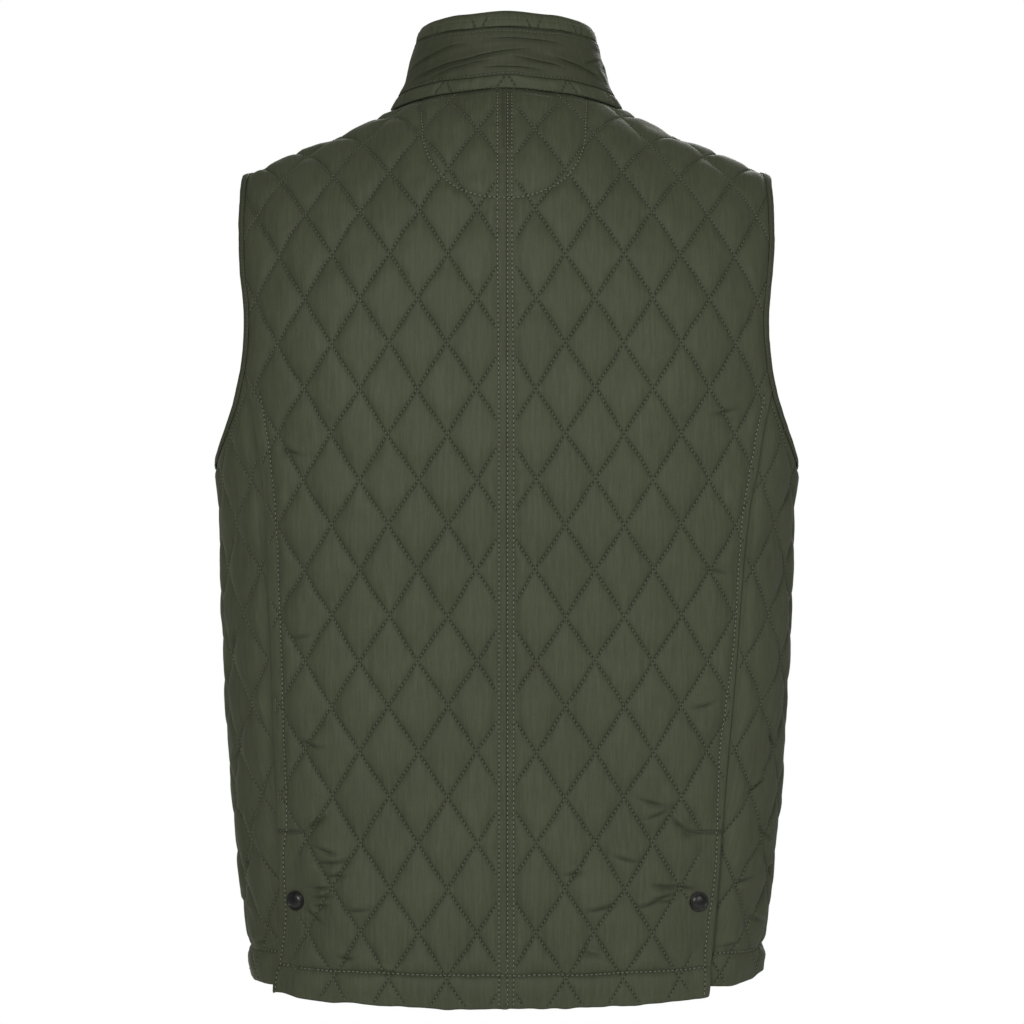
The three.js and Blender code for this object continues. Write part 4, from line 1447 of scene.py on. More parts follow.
        # Painted shade in the crease troughs, beside the stitch rows and at the edges.
        painted_shade = np.maximum(0.38 * np.clip(trough, 0, 1.6), 0.5 * bell(edge - self.band_row, 0.9))
        return np.zeros_like(trough), np.maximum(painted_shade, 0.8 * bell(edge, 0.7))

    def band_rise(self, turn: Array, share: Array) -> Array:
        """Relief of the plain band: soft creases between its two stitched edges."""
        t = (share - self.band_low) / (self.band_high - self.band_low)
        ridge, trough = self.folded(turn, share)
        arc = self.arc(turn)
        up = share * self.height
        slack = np.clip(4 * t * (1 - t), 0, 1) ** 0.5
        soft = 0.6 * rumple((arc + 1.3 * up) / 22, (up - 0.35 * arc) / 8, 71)
        soft += 0.4 * rumple((arc - up) / 11, (up + 0.2 * arc) / 5, 72)
        edge_gap = self.band_edge(share)
        pull = rumple(arc / 4.2, np.where(t > 0.5, 3.0, 8.0), 73) * bell(edge_gap - 2, 4.5)
        row = 0.6 * bell(edge_gap - self.band_row, 0.8)
        worn = (0.8 * ridge - 0.6 * trough + soft) * slack + 0.6 * slack + 0.3 * pull
        return np.maximum(worn - row, -0.8) - rounded(edge_gap, self.band_rounding)

    def shell(self, name: str, turns: Array, shares: Array, outer: Callable[[Array, Array], Array],
              inner: Callable[[Array, Array], Array],
              marks: Callable[[Array, Array], tuple[Array, Array]]) -> bpy.types.Object:
        """Sweeps a thin wall round the neck.

        Args:
            name: The piece's name.
            turns: The turn of each column.
            shares: The share of the height of each row.
            outer: Depth of the outer face at a turn and share.
            inner: Depth of the inner face at a turn and share.
            marks: Where the outer face has quilting stitches and how much painted shade darkens it, at a turn
                and share.

        Returns:
            The closed wall.
        """
        turn, share = np.meshgrid(turns, shares, indexing="ij")
        front = self.point(turn, share, outer(turn, share))
        behind = self.point(turn, share, inner(turn, share))
        rings = np.concatenate([front, behind[:, ::-1]], axis=1)
        faces = sweep(rings, closed=False)[:, ::-1]
        rows, size = len(shares), rings.shape[1]
        caps = []
        for k in range(rows - 1):
            a, b, c, d = k, k + 1, size - 2 - k, size - 1 - k
            end = (len(turns) - 1) * size
            caps += [(a, b, c, d), (end + d, end + c, end + b, end + a)]
        faces = np.concatenate([faces, np.array(caps)[:, ::-1]])
        flat = np.stack([self.arc(turn), share * self.height], -1)
        uvs = np.concatenate([flat, flat[:, ::-1]], axis=1).reshape(-1, 2)
        shades = {}
        # The second share is painted shade for the finish's colour.
        for word, values in zip(("sewn", "painted_shade"), marks(turn, share)):
            shades[word] = np.concatenate([values, np.zeros_like(values)], axis=1).ravel()
        return make_object(name, rings.reshape(-1, 3) * MM, faces, uvs * MM, shades)

    def stitch_row(self, sewing: Sewing, share: float, first: float, last: float,
                   rise: Callable[[Array, Array], Array]) -> None:
        """Sews a level row of the collar, from one turn to another, over a relief."""
        turn = np.linspace(first, last, int(self.arc(last - first) / self.thread.pitch))
        level = np.full_like(turn, share)
        depth = -rise(turn, level) - self.thread_sink
        place = self.point(turn, level, depth)
        along = unit(self.point(turn + 0.01, level, depth) - self.point(turn - 0.01, level, depth))
        rising = self.point(turn, level + 0.02, depth) - self.point(turn, level - 0.02, depth)
        out = unit(np.cross(along, rising))
        out *= np.sign((out * place * [1, 1, 0]).sum(1))[:, None]
        sewing.add(self.thread, place * MM, along, out)

    def dress(self, finish: Finishes) -> None:
        """Builds the collar, its band and their stitches."""
        lap = self.lap_turn
        turns = np.linspace(-math.pi - lap, math.pi + lap, self.columns)
        e = self.height
        shares = np.concatenate([
            [0.05 / e, 0.4 / e, 1.0 / e], np.linspace(1.8 / e, 1 - 3.0 / e, 60),
            1 - np.array([2.2, 1.4, 0.8, 0.35, 0.08]) / e])

        def turned(share: Array) -> Array:
            """How far the collar's turned edge falls at each share of its height."""
            return rounded(np.minimum(share, 1 - share) * self.height, self.rounding)

        collar = self.shell(
            "collar_cloth", turns, shares,
            lambda t, s: self.tuck(t) - self.collar_rise(t, s) + turned(s),
            lambda t, s: self.tuck(t) + self.wall - turned(s), self.collar_marks)
        collar.data.materials.append(finish.quilted)
        band_turns = turns[turns > 3 * lap - math.pi]
        low, high = self.band_low, self.band_high
        steps = np.concatenate([[0, 0.006, 0.02], np.linspace(0.035, 0.965, 64), [0.98, 0.994, 1]])
        lift = self.layer_gap + self.band_wall
        band = self.shell(
            "collar_band_cloth", band_turns, low + (high - low) * steps,
            lambda t, s: -lift - self.band_rise(t, s),
            lambda t, s: np.full(t.shape, -self.layer_gap + self.band_bite), self.band_marks)
        band.data.materials.append(finish.plain)
        inset = self.band_row / self.height
        sewing = Sewing()
        for share in (low + inset, high - inset):
            self.stitch_row(sewing, share, float(band_turns[0]) + 0.03, float(band_turns[-1]) - 0.03,
                            lambda t, s: lift + self.band_rise(t, s))
        for share in self.edge_rows:
            self.stitch_row(sewing, share, -math.pi + 3 * lap, math.pi + lap - 0.03, self.collar_rise)
        stitches = sewing.finish("collar_stitches", finish)
        for piece, slot in ((collar, "quilted_cloth"), (band, "plain_cloth"), (stitches, "plain_cloth")):
            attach(piece, "root")
        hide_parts("collar")
        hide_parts("collar_band")
        log.info("collar: %d faces, band %d", len(collar.data.polygons), len(band.data.polygons))


@dataclass
class Binding:
    """The narrow tape folded over an armhole's edge."""

    pattern: Pattern
    side: Side
    reach: float = 3.0
    proud: float = 1.5
    behind: float = 3.3
    tape: float = 0.75
    step: float = 2.2
    thread: Thread = Thread(pitch=3.0, length=2.0, radius=0.22)

    def stations(self) -> list[tuple[Face, float, float]]:
        """Places round the armhole: down the back, round the bottom and up the front."""
        pattern, form = self.pattern, self.pattern.form

        def upright(face: Face) -> list[tuple[Face, float, float]]:
            """Places down the upright edge of one half, from the shoulder to the yoke level."""
            start = form.side_length(face, form.yoke) - pattern.armhole_half - self.reach
            top = float(form.ridge_up(face, start)) - 1.2
            ups = np.linspace(top, -1, int(top / self.step))
            edge = pattern.armhole_edge(face, ups, self.reach)
            return [(face, float(a), float(u)) for a, u in zip(edge, ups)]

        places = upright(Face.BACK)
        turns = np.linspace(0, math.pi, int(math.pi * pattern.armhole_half / self.step))[1:-1]
        for turn in turns:
            z = pattern.armhole_middle - (pattern.armhole_drop + self.reach) * math.sin(turn)
            face = Face.BACK if math.cos(turn) >= 0 else Face.FRONT
            across = float(form.side_length(face, z) - pattern.armhole_width(np.array(z), self.reach))
            places.append((face, across, z - form.yoke))
        return places + upright(Face.FRONT)[::-1]

    def frames(self) -> tuple[Array, Array, Array, Array]:
        """Middle, direction along, outward direction and direction to the opening, at each place."""
        form = self.pattern.form
        middle, out = [], []
        for face, across, up in self.stations():
            here = (np.array([across]), np.array([up]))
            middle.append(form.point(face, *here)[0])
            out.append(form.directions(face, *here)[2][0])
        middle, out = np.array(middle), np.array(out)
        for _ in range(3):
            out = (np.roll(out, 1, axis=0) + 2 * out + np.roll(out, -1, axis=0)) / 4
        out = unit(out)
        along = unit(np.roll(middle, -1, axis=0) - np.roll(middle, 1, axis=0))
        opening = unit(np.cross(along, out))
        mirror = np.array([self.side.value, 1.0, 1.0])
        return middle * mirror, along * mirror, out * mirror, opening * mirror

    def dress(self, finish: Finishes) -> None:
        """Builds the folded tape and its stitches."""
        middle, along, out, opening = self.frames()
        reach, proud, behind, tape = self.reach, self.proud, self.behind, self.tape
        bend = (proud + behind) / 2
        outer = [(-reach - 0.2, proud - 0.6), (-reach, proud - 0.15), (-reach + 0.9, proud), (0, proud + 0.1),
                 (reach - 2.2, proud)]
        for turn in np.linspace(1.3, -1.3, 7):
            outer.append((reach - 2.0 + 2.0 * math.cos(turn), (proud - behind) / 2 + bend * math.sin(turn)))
        outer += [(reach - 2.2, -behind), (0, -behind), (-reach, -behind)]
        inner = [(-reach - 0.2, proud - tape - 0.15), (0, proud - tape), (reach - 2.2, proud - tape)]
        for turn in np.linspace(1.2, -1.2, 5):
            inner.append((reach - 2.0 + 1.2 * math.cos(turn),
                          (proud - behind) / 2 + (bend - tape) * math.sin(turn)))
        inner += [(reach - 2.2, -behind + tape), (-reach, -behind + tape)]
        section = np.array(outer + inner[::-1])
        count = len(middle)
        run = np.arange(count) * self.step
        number = np.full(count, float(self.side.value))
        wave = rumple(run / 7.5, number, 55)[:, None] + 0.6 * rumple(
            (run[:, None] + section[None, :, 0] * 2.5) / 4.1, section[None, :, 0] / 3.0, 56)
        on_face = (section[:, 1] > 0)[None, :] * 0.22
        rise = section[None, :, 1] + wave * on_face
        side = section[None, :, 0] + 0.25 * rumple(run / 16, number, 57)[:, None]
        rings = middle[:, None] + opening[:, None] * side[..., None] + out[:, None] * rise[..., None]
        faces = sweep(rings, closed=True)
        if self.side is Side.LEFT:
            faces = faces[:, ::-1]
        around = running(np.hypot(*np.diff(section, axis=0).T))
        uvs = np.stack(np.broadcast_arrays(run[:, None], around[None, :]), -1).reshape(-1, 2)
        tape_piece = make_object(
            f"armhole_binding_{self.side.word}_cloth", rings.reshape(-1, 3) * MM, faces, uvs * MM)
        tape_piece.data.materials.append(finish.plain)
        length = running(np.linalg.norm(np.diff(middle, axis=0), axis=1))
        at = np.arange(self.thread.pitch, length[-1], self.thread.pitch)

        def along_ring(values: Array) -> Array:
            """Values round the armhole, read at each stitch."""
            return np.stack([np.interp(at, length, values[:, k]) for k in range(3)], 1)

        centre = along_ring(middle - opening * (reach - 1.3) + out * (proud + 0.06))
        direction = unit(along_ring(along))
        sewing = Sewing()
        sewing.add(self.thread, centre * MM, direction, along_ring(out))
        stitches = sewing.finish(f"armhole_binding_{self.side.word}_stitches", finish)
        for piece in (tape_piece, stitches):
            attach(piece, "root")
        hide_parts(f"armhole_binding_{self.side.word}")
        log.info("%s: %d faces", tape_piece.name, len(tape_piece.data.polygons))


def deselect_all() -> None:
    """Leaves nothing selected, so that an operator acts only on what comes next."""
    if bpy.context.object and bpy.context.object.mode != "OBJECT":
        bpy.ops.object.mode_set(mode="OBJECT")
    bpy.ops.object.select_all(action="DESELECT")


@dataclass
class PressStud:
    """A domed snap cap with a rolled rim, modelled once and copied to each place."""

    radius: float = 7.5
    segments: int = 48

    def model(self) -> bpy.types.Object:
        """Models the cap at the origin, standing along Z."""
        deselect_all()
        bpy.ops.mesh.primitive_cylinder_add(
            vertices=self.segments, radius=self.radius * MM, depth=1.9 * MM,
            location=(0, 0, 0.95 * MM))
        cap = bpy.context.object
        cap.name = "press_stud"
        bpy.ops.object.mode_set(mode="EDIT")
        bpy.ops.mesh.select_all(action="DESELECT")
        bpy.ops.object.mode_set(mode="OBJECT")
        for polygon in cap.data.polygons:
            polygon.select = polygon.normal.z > 0.9
        bpy.ops.object.mode_set(mode="EDIT")
        bpy.ops.mesh.select_mode(type="FACE")
        steps = ((1.1, 0.0), (0.35, -0.45), (0.35, 0.0), (0.35, 0.5), (0.9, 0.62), (1.1, 0.42),
                 (1.2, 0.26), (1.1, 0.1), (0.6, 0.03))
        for inset, lift in steps:
            bpy.ops.mesh.inset(thickness=inset * MM, depth=0.0)
            bpy.ops.transform.translate(value=(0, 0, lift * MM))
        bpy.ops.object.mode_set(mode="OBJECT")
        bevel = cap.modifiers.new("rolled rim", "BEVEL")
        bevel.width = 0.5 * MM
        bevel.segments = 4
        bevel.limit_method = "ANGLE"
        bevel.angle_limit = math.radians(50)
        bpy.ops.object.modifier_apply(modifier=bevel.name)
        bpy.ops.object.shade_smooth_by_angle(angle=math.radians(55))
        return cap

    def set_at(self, cap: bpy.types.Object, node: str, finish: Finishes) -> bpy.types.Object:
        """Copies the cap to where a CAD stud sits, facing the same way.

        Args:
            cap: The modelled cap.
            node: The CAD stud's name.
            finish: The vest's finishes.

        Returns:
            The copy, which replaces the CAD stud.
        """
        source = bpy.data.objects[node].data
        points = np.array([v.co for v in source.vertices])
        middle = points.mean(0)
        spread = np.linalg.eigh(np.cov((points - middle).T))
        axis = Vector(spread[1][:, 0])
        if axis.dot(Vector((middle[0], middle[1], 0))) < 0:
            axis.negate()
        along = (points - middle) @ np.array(axis)
        foot = Vector(middle) + axis * float(along.min())
        turn = axis.to_track_quat("Z", "Y").to_matrix().to_4x4()
        copy = cap.copy()
        copy.data = cap.data.copy()
        copy.name = f"{node}_cap"
        copy.data.transform(Matrix.Translation(foot) @ turn)
        bpy.context.scene.collection.objects.link(copy)
        copy.data.materials.append(finish.metal)
        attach(copy, "root")
        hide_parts(node)
        return copy


class Nodes:
    """Adds shader nodes to a material and joins them."""

    def __init__(self, name: str) -> None:
        """Starts a material with this name."""
        self.material = bpy.data.materials.new(name)
        self.material.use_nodes = True
        self.tree = self.material.node_tree
        self.shader = self.tree.nodes["Principled BSDF"]

    def add(self, kind: str, inputs: dict[str, object] | None = None, **settings: object) -> bpy.types.Node:
        """Adds a node, sets it up and joins or fills its inputs."""
        node = self.tree.nodes.new(kind)
        for name, value in settings.items():
            setattr(node, name, value)
        for name, value in (inputs or {}).items():
            socket = node.inputs[int(name)] if name.isdigit() else node.inputs[name]
            if isinstance(value, Socket):
                self.tree.links.new(value, socket)
            else:
                socket.default_value = value
        return node

    def math(self, operation: str, first: object, second: object = 0.0) -> Socket:
        """The result of a sum on two values."""
        return self.add("ShaderNodeMath", {"0": first, "1": second}, operation=operation).outputs[0]

    def mix(self, share: object, first: object, second: object) -> Socket:
        """A blend of two colours."""
        node = self.add("ShaderNodeMix", {"0": share}, data_type="RGBA")
        for index, value in ((6, first), (7, second)):
            if isinstance(value, Socket):
                self.tree.links.new(value, node.inputs[index])
            else:
                node.inputs[index].default_value = (*value, 1.0)
        return node.outputs[2]

    def span(self, value: object, first: float, last: float, start: float = 0.0, end: float = 1.0,
             **settings: object) -> Socket:
        """A value brought from one span to another."""
        return self.add("ShaderNodeMapRange", {
            "Value": value, "From Min": first, "From Max": last, "To Min": start, "To Max": end},
            **settings).outputs[0]

    def grain(self, scale: float, detail: float) -> Socket:
        """Noise from 0 to 1 on the piece's own coordinates."""
        place = self.add("ShaderNodeTexCoord").outputs["Object"]
        return self.add("ShaderNodeTexNoise", {
            "Vector": place, "Scale": scale, "Detail": detail}).outputs["Fac"]

    def bump(self, height: object, strength: float, distance: float,
             under: Socket | None = None) -> Socket:
        """Small relief in the finish, laid over other relief where that is given."""
        inputs = {"Height": height, "Strength": strength, "Distance": distance}
        if under is not None:
            inputs["Normal"] = under
        return self.add("ShaderNodeBump", inputs).outputs[0]

    def fix(self, values: dict[str, object]) -> None:
        """Sets the shader's own values that are the same everywhere."""
        for name, value in values.items():
            self.shader.inputs[name].default_value = value

    def link(self, socket: Socket, name: str) -> None:
        """Joins a value to the shader."""
        self.tree.links.new(socket, self.shader.inputs[name])


@dataclass(frozen=True)
class ClothFinish:
    """Woven cloth with slubs that run up and down, seen as fine streaks, with painted shade in its stitch
    valleys, needle pits, creases and edges.
    """

    name: str
    light: Triple
    dark: Triple
    roughness: float = 0.68
    sheen: float = 0.06
    # Strength of the painted shade that the piece's shade share gives.
    shade: float = 0.5
    weave: float = 0.00012
    slub: float = 0.00016

    def quilting_marks(self, nodes: Nodes, flat: Socket,
                       quilting: Quilting) -> tuple[Socket, Socket]:
        """The narrow valleys of the stitch lines and the pits where the needle went in, from 0 to 1, used
        both for bump and for painted shade.
        """
        parts = nodes.add("ShaderNodeSeparateXYZ", {"Vector": flat}).outputs
        level = nodes.math("DIVIDE", parts["X"], quilting.width * MM)
        climb = nodes.math("DIVIDE", nodes.math("SUBTRACT", parts["Y"], quilting.crossing_up * MM),
                           quilting.height * MM)
        p = nodes.math("ADD", level, climb)
        q = nodes.math("SUBTRACT", level, climb)
        sewn = nodes.add("ShaderNodeAttribute", attribute_name="sewn").outputs["Fac"]
        valleys, pits = [], []
        for cross, along in ((p, q), (q, p)):
            gap = nodes.math("MULTIPLY", nodes.math("PINGPONG", cross, 0.5), quilting.spacing)
            step = nodes.math("PINGPONG", nodes.math("MULTIPLY", along, float(quilting.stitches)), 0.5)
            run = nodes.math("MULTIPLY", step, quilting.edge / quilting.stitches)
            far = nodes.add("ShaderNodeCombineXYZ", {"X": gap, "Y": run}).outputs[0]
            far = nodes.add("ShaderNodeVectorMath", {"0": far}, operation="LENGTH").outputs["Value"]
            for found, distance, near, end in ((valleys, gap, 0.0, 1.9), (pits, far, 0.2, 0.95)):
                found.append(nodes.span(distance, near, end, 1.0, 0.0, interpolation_type="SMOOTHSTEP"))
        return (nodes.math("MULTIPLY", nodes.math("MAXIMUM", *valleys), sewn),
                nodes.math("MULTIPLY", nodes.math("MAXIMUM", *pits), sewn))

    def material(self, quilting: Quilting) -> bpy.types.Material:
        """Builds the procedural cloth, with painted shade mixed into its colour."""
        nodes = Nodes(self.name)
        flat = nodes.add("ShaderNodeUVMap", uv_map="cloth").outputs[0]

        def noise(scale: Triple, detail: float) -> Socket:
            """Noise stretched along the two measures of the cloth."""
            placed = nodes.add("ShaderNodeMapping", {"Vector": flat, "Scale": scale}).outputs[0]
            return nodes.add("ShaderNodeTexNoise", {"Vector": placed, "Scale": 1.0, "Detail": detail,
                                                    "Roughness": 0.6}).outputs["Fac"]

        streak = noise((1150.0, 75.0, 1.0), 3.0)
        thread = noise((2600.0, 420.0, 1.0), 2.0)
        weft = noise((160.0, 1900.0, 1.0), 2.0)
        wide = noise((430.0, 24.0, 1.0), 2.0)
        broad = noise((14.0, 11.0, 1.0), 3.0)
        tone = nodes.math("MULTIPLY", streak, 0.45)
        for part, share in ((thread, 0.25), (weft, 0.15), (wide, 0.35), (broad, 0.25)):
            tone = nodes.math("ADD", tone, nodes.math("MULTIPLY", part, share))
        woven = nodes.mix(nodes.span(tone, 0.53, 0.9), self.dark, self.light)
        valley, pit = self.quilting_marks(nodes, flat, quilting)
        # Painted shade: the stored share, the stitch valleys and the needle pits darken the colour towards a
        # near-black olive.
        painted_shade = nodes.add("ShaderNodeAttribute", attribute_name="painted_shade").outputs["Fac"]
        shade = nodes.math("MULTIPLY", painted_shade, self.shade)
        shade = nodes.math("MAXIMUM", shade, nodes.math("MULTIPLY", valley, 0.26))
        shade = nodes.math("MAXIMUM", shade, nodes.math("MULTIPLY", pit, 0.6))
        nodes.link(nodes.mix(shade, woven, tuple(0.22 * value for value in self.dark)), "Base Color")
        rough = nodes.span(streak, 0.0, 1.0, self.roughness - 0.07, self.roughness + 0.07)
        nodes.link(rough, "Roughness")
        sunk = nodes.math("ADD", nodes.math("MULTIPLY", valley, -0.5), nodes.math("MULTIPLY", pit, -0.6))
        lines = nodes.bump(sunk, 1.0, MM)
        weave = nodes.math("ADD", nodes.math("MULTIPLY", thread, 0.6), nodes.math("MULTIPLY", weft, 0.5))
        fine = nodes.bump(weave, 0.55, self.weave, lines)
        nodes.link(nodes.bump(streak, 0.6, self.slub, fine), "Normal")
        nodes.fix({"Sheen Weight": self.sheen, "Sheen Roughness": 0.45,
                   "Sheen Tint": (0.75, 0.8, 0.55, 1.0), "Specular IOR Level": 0.16})
        return nodes.material


@dataclass(frozen=True)
class ThreadFinish:
    """Twisted polyester thread, a little lighter than the cloth."""

    name: str = "seam_thread"
    light: Triple = (0.15, 0.158, 0.112)
    dark: Triple = (0.098, 0.105, 0.072)
    relief: float = 0.0001

    def material(self) -> bpy.types.Material:
        """Builds the procedural thread."""
        nodes = Nodes(self.name)
        noise = nodes.grain(900.0, 2.0)
        nodes.link(nodes.mix(noise, self.dark, self.light), "Base Color")
        nodes.link(nodes.bump(noise, 0.4, self.relief), "Normal")
        nodes.fix({"Roughness": 0.8, "Specular IOR Level": 0.2})
        return nodes.material


@dataclass(frozen=True)
class MetalFinish:
    """Black gunmetal of the press studs, worn a little brighter on its rim."""

    name: str = "gunmetal"
    tone: Triple = (0.012, 0.0125, 0.0115)
    worn: Triple = (0.06, 0.059, 0.054)
    relief: float = 0.0001

    def material(self) -> bpy.types.Material:
        """Builds the procedural metal."""
        nodes = Nodes(self.name)
        patch = nodes.grain(420.0, 4.0)
        edge = nodes.add("ShaderNodeNewGeometry").outputs["Pointiness"]
        share = nodes.math("MULTIPLY", nodes.span(edge, 0.5, 0.62), patch)
        nodes.link(nodes.mix(share, self.tone, self.worn), "Base Color")
        nodes.link(nodes.span(patch, 0.0, 1.0, 0.3, 0.42), "Roughness")
        nodes.link(nodes.bump(patch, 0.15, self.relief), "Normal")
        nodes.fix({"Metallic": 0.7})
        return nodes.material


@dataclass(frozen=True)
class Finishes:
    """The materials that the vest's pieces share."""

    quilted: bpy.types.Material
    plain: bpy.types.Material
    quilt_thread: bpy.types.Material
    seam_thread: bpy.types.Material
    hole: bpy.types.Material
    metal: bpy.types.Material

    @classmethod
    def make(cls, quilting: Quilting) -> Finishes:
        """Builds every finish."""
        quilted = ClothFinish("quilted_olive_cloth", (0.0435, 0.0491, 0.0278), (0.0238, 0.0271, 0.0147))
        plain = ClothFinish("plain_olive_cloth", (0.0333, 0.0374, 0.0208), (0.0192, 0.0217, 0.0118))
        quilt_thread = ThreadFinish("quilting_thread", (0.076, 0.084, 0.054), (0.054, 0.06, 0.038))
        # Painted shade: the needle pits are flat discs of near-black colour.
        hole = ThreadFinish("needle_hole_shade", (0.012, 0.013, 0.008), (0.007, 0.008, 0.005))
        return cls(quilted.material(quilting), plain.material(quilting), quilt_thread.material(),
                   ThreadFinish().material(), hole.material(), MetalFinish().material())


@dataclass
class Studio:
    """The camera, the lights and the pale floor."""

    distance: float = 3.0
    centre_x: float = -0.0043
    centre_z: float = -0.315
    lens: float = 134.5
    floor_z: float = -1.75
    floor_size: float = 7.0
    ambient: float = 0.26
    lights: tuple[tuple[str, Triple, float, float], ...] = (
        ("key", (0.75, 2.9, 0.5), 1.0, 86.0),
        ("fill", (-2.1, 2.2, 0.3), 1.5, 42.0),
        ("front_soft", (-0.6, -3.2, 0.9), 1.8, 95.0),
    )

    def camera(self) -> None:
        """Sets the camera where the photo was taken from."""
        data = bpy.data.cameras.new("camera")
        data.lens = self.lens
        data.sensor_width = 36.0
        data.clip_end = 200.0
        camera = bpy.data.objects.new("camera", data)
        camera.location = (self.centre_x, self.distance, self.centre_z)
        camera.rotation_euler = (math.radians(90), 0, math.radians(180))
        bpy.context.scene.collection.objects.link(camera)
        bpy.context.scene.camera = camera

    def light(self, name: str, place: Triple, size: float, power: float) -> None:
        """Adds a soft square light that faces the vest."""
        data = bpy.data.lights.new(name, "AREA")
        data.shape = "SQUARE"
        data.size = size
        data.energy = power
        lamp = bpy.data.objects.new(name, data)
        lamp.location = place
        aim = Vector((0, 0, self.centre_z)) - Vector(place)
        lamp.rotation_euler = aim.to_track_quat("-Z", "Y").to_euler()
        lamp.visible_camera = False
        bpy.context.scene.collection.objects.link(lamp)

    def surroundings(self) -> None:
        """Even white surroundings, which the camera sees as pure white."""
        world = bpy.data.worlds.new("studio")
        world.use_nodes = True
        bpy.context.scene.world = world
        tree = world.node_tree
        background = tree.nodes["Background"]
        background.inputs["Color"].default_value = (1, 1, 1, 1)
        seen = tree.nodes.new("ShaderNodeLightPath").outputs["Is Camera Ray"]
        strength = tree.nodes.new("ShaderNodeMapRange")
        strength.inputs["To Min"].default_value = self.ambient
        tree.links.new(seen, strength.inputs["Value"])
        tree.links.new(strength.outputs[0], background.inputs["Strength"])

    def floor(self) -> None:
        """A plain pale floor, below the height where the vest is worn."""
        deselect_all()
        bpy.ops.mesh.primitive_plane_add(size=self.floor_size, location=(0, 0, self.floor_z))
        floor = bpy.context.object
        floor.name = "floor"
        nodes = Nodes("pale_floor")
        nodes.link(nodes.mix(nodes.grain(3.0, 2.0), (0.86, 0.86, 0.86), (0.9, 0.9, 0.9)), "Base Color")
        nodes.fix({"Roughness": 0.9})
        floor.data.materials.append(nodes.material)

    def build(self) -> None:
        """Sets up the whole studio."""
        self.camera()
        self.surroundings()
        for name, place, size, power in self.lights:
            self.light(name, place, size, power)
        self.floor()
        view = bpy.context.scene.view_settings
        view.view_transform = "Standard"
        view.look = "None"


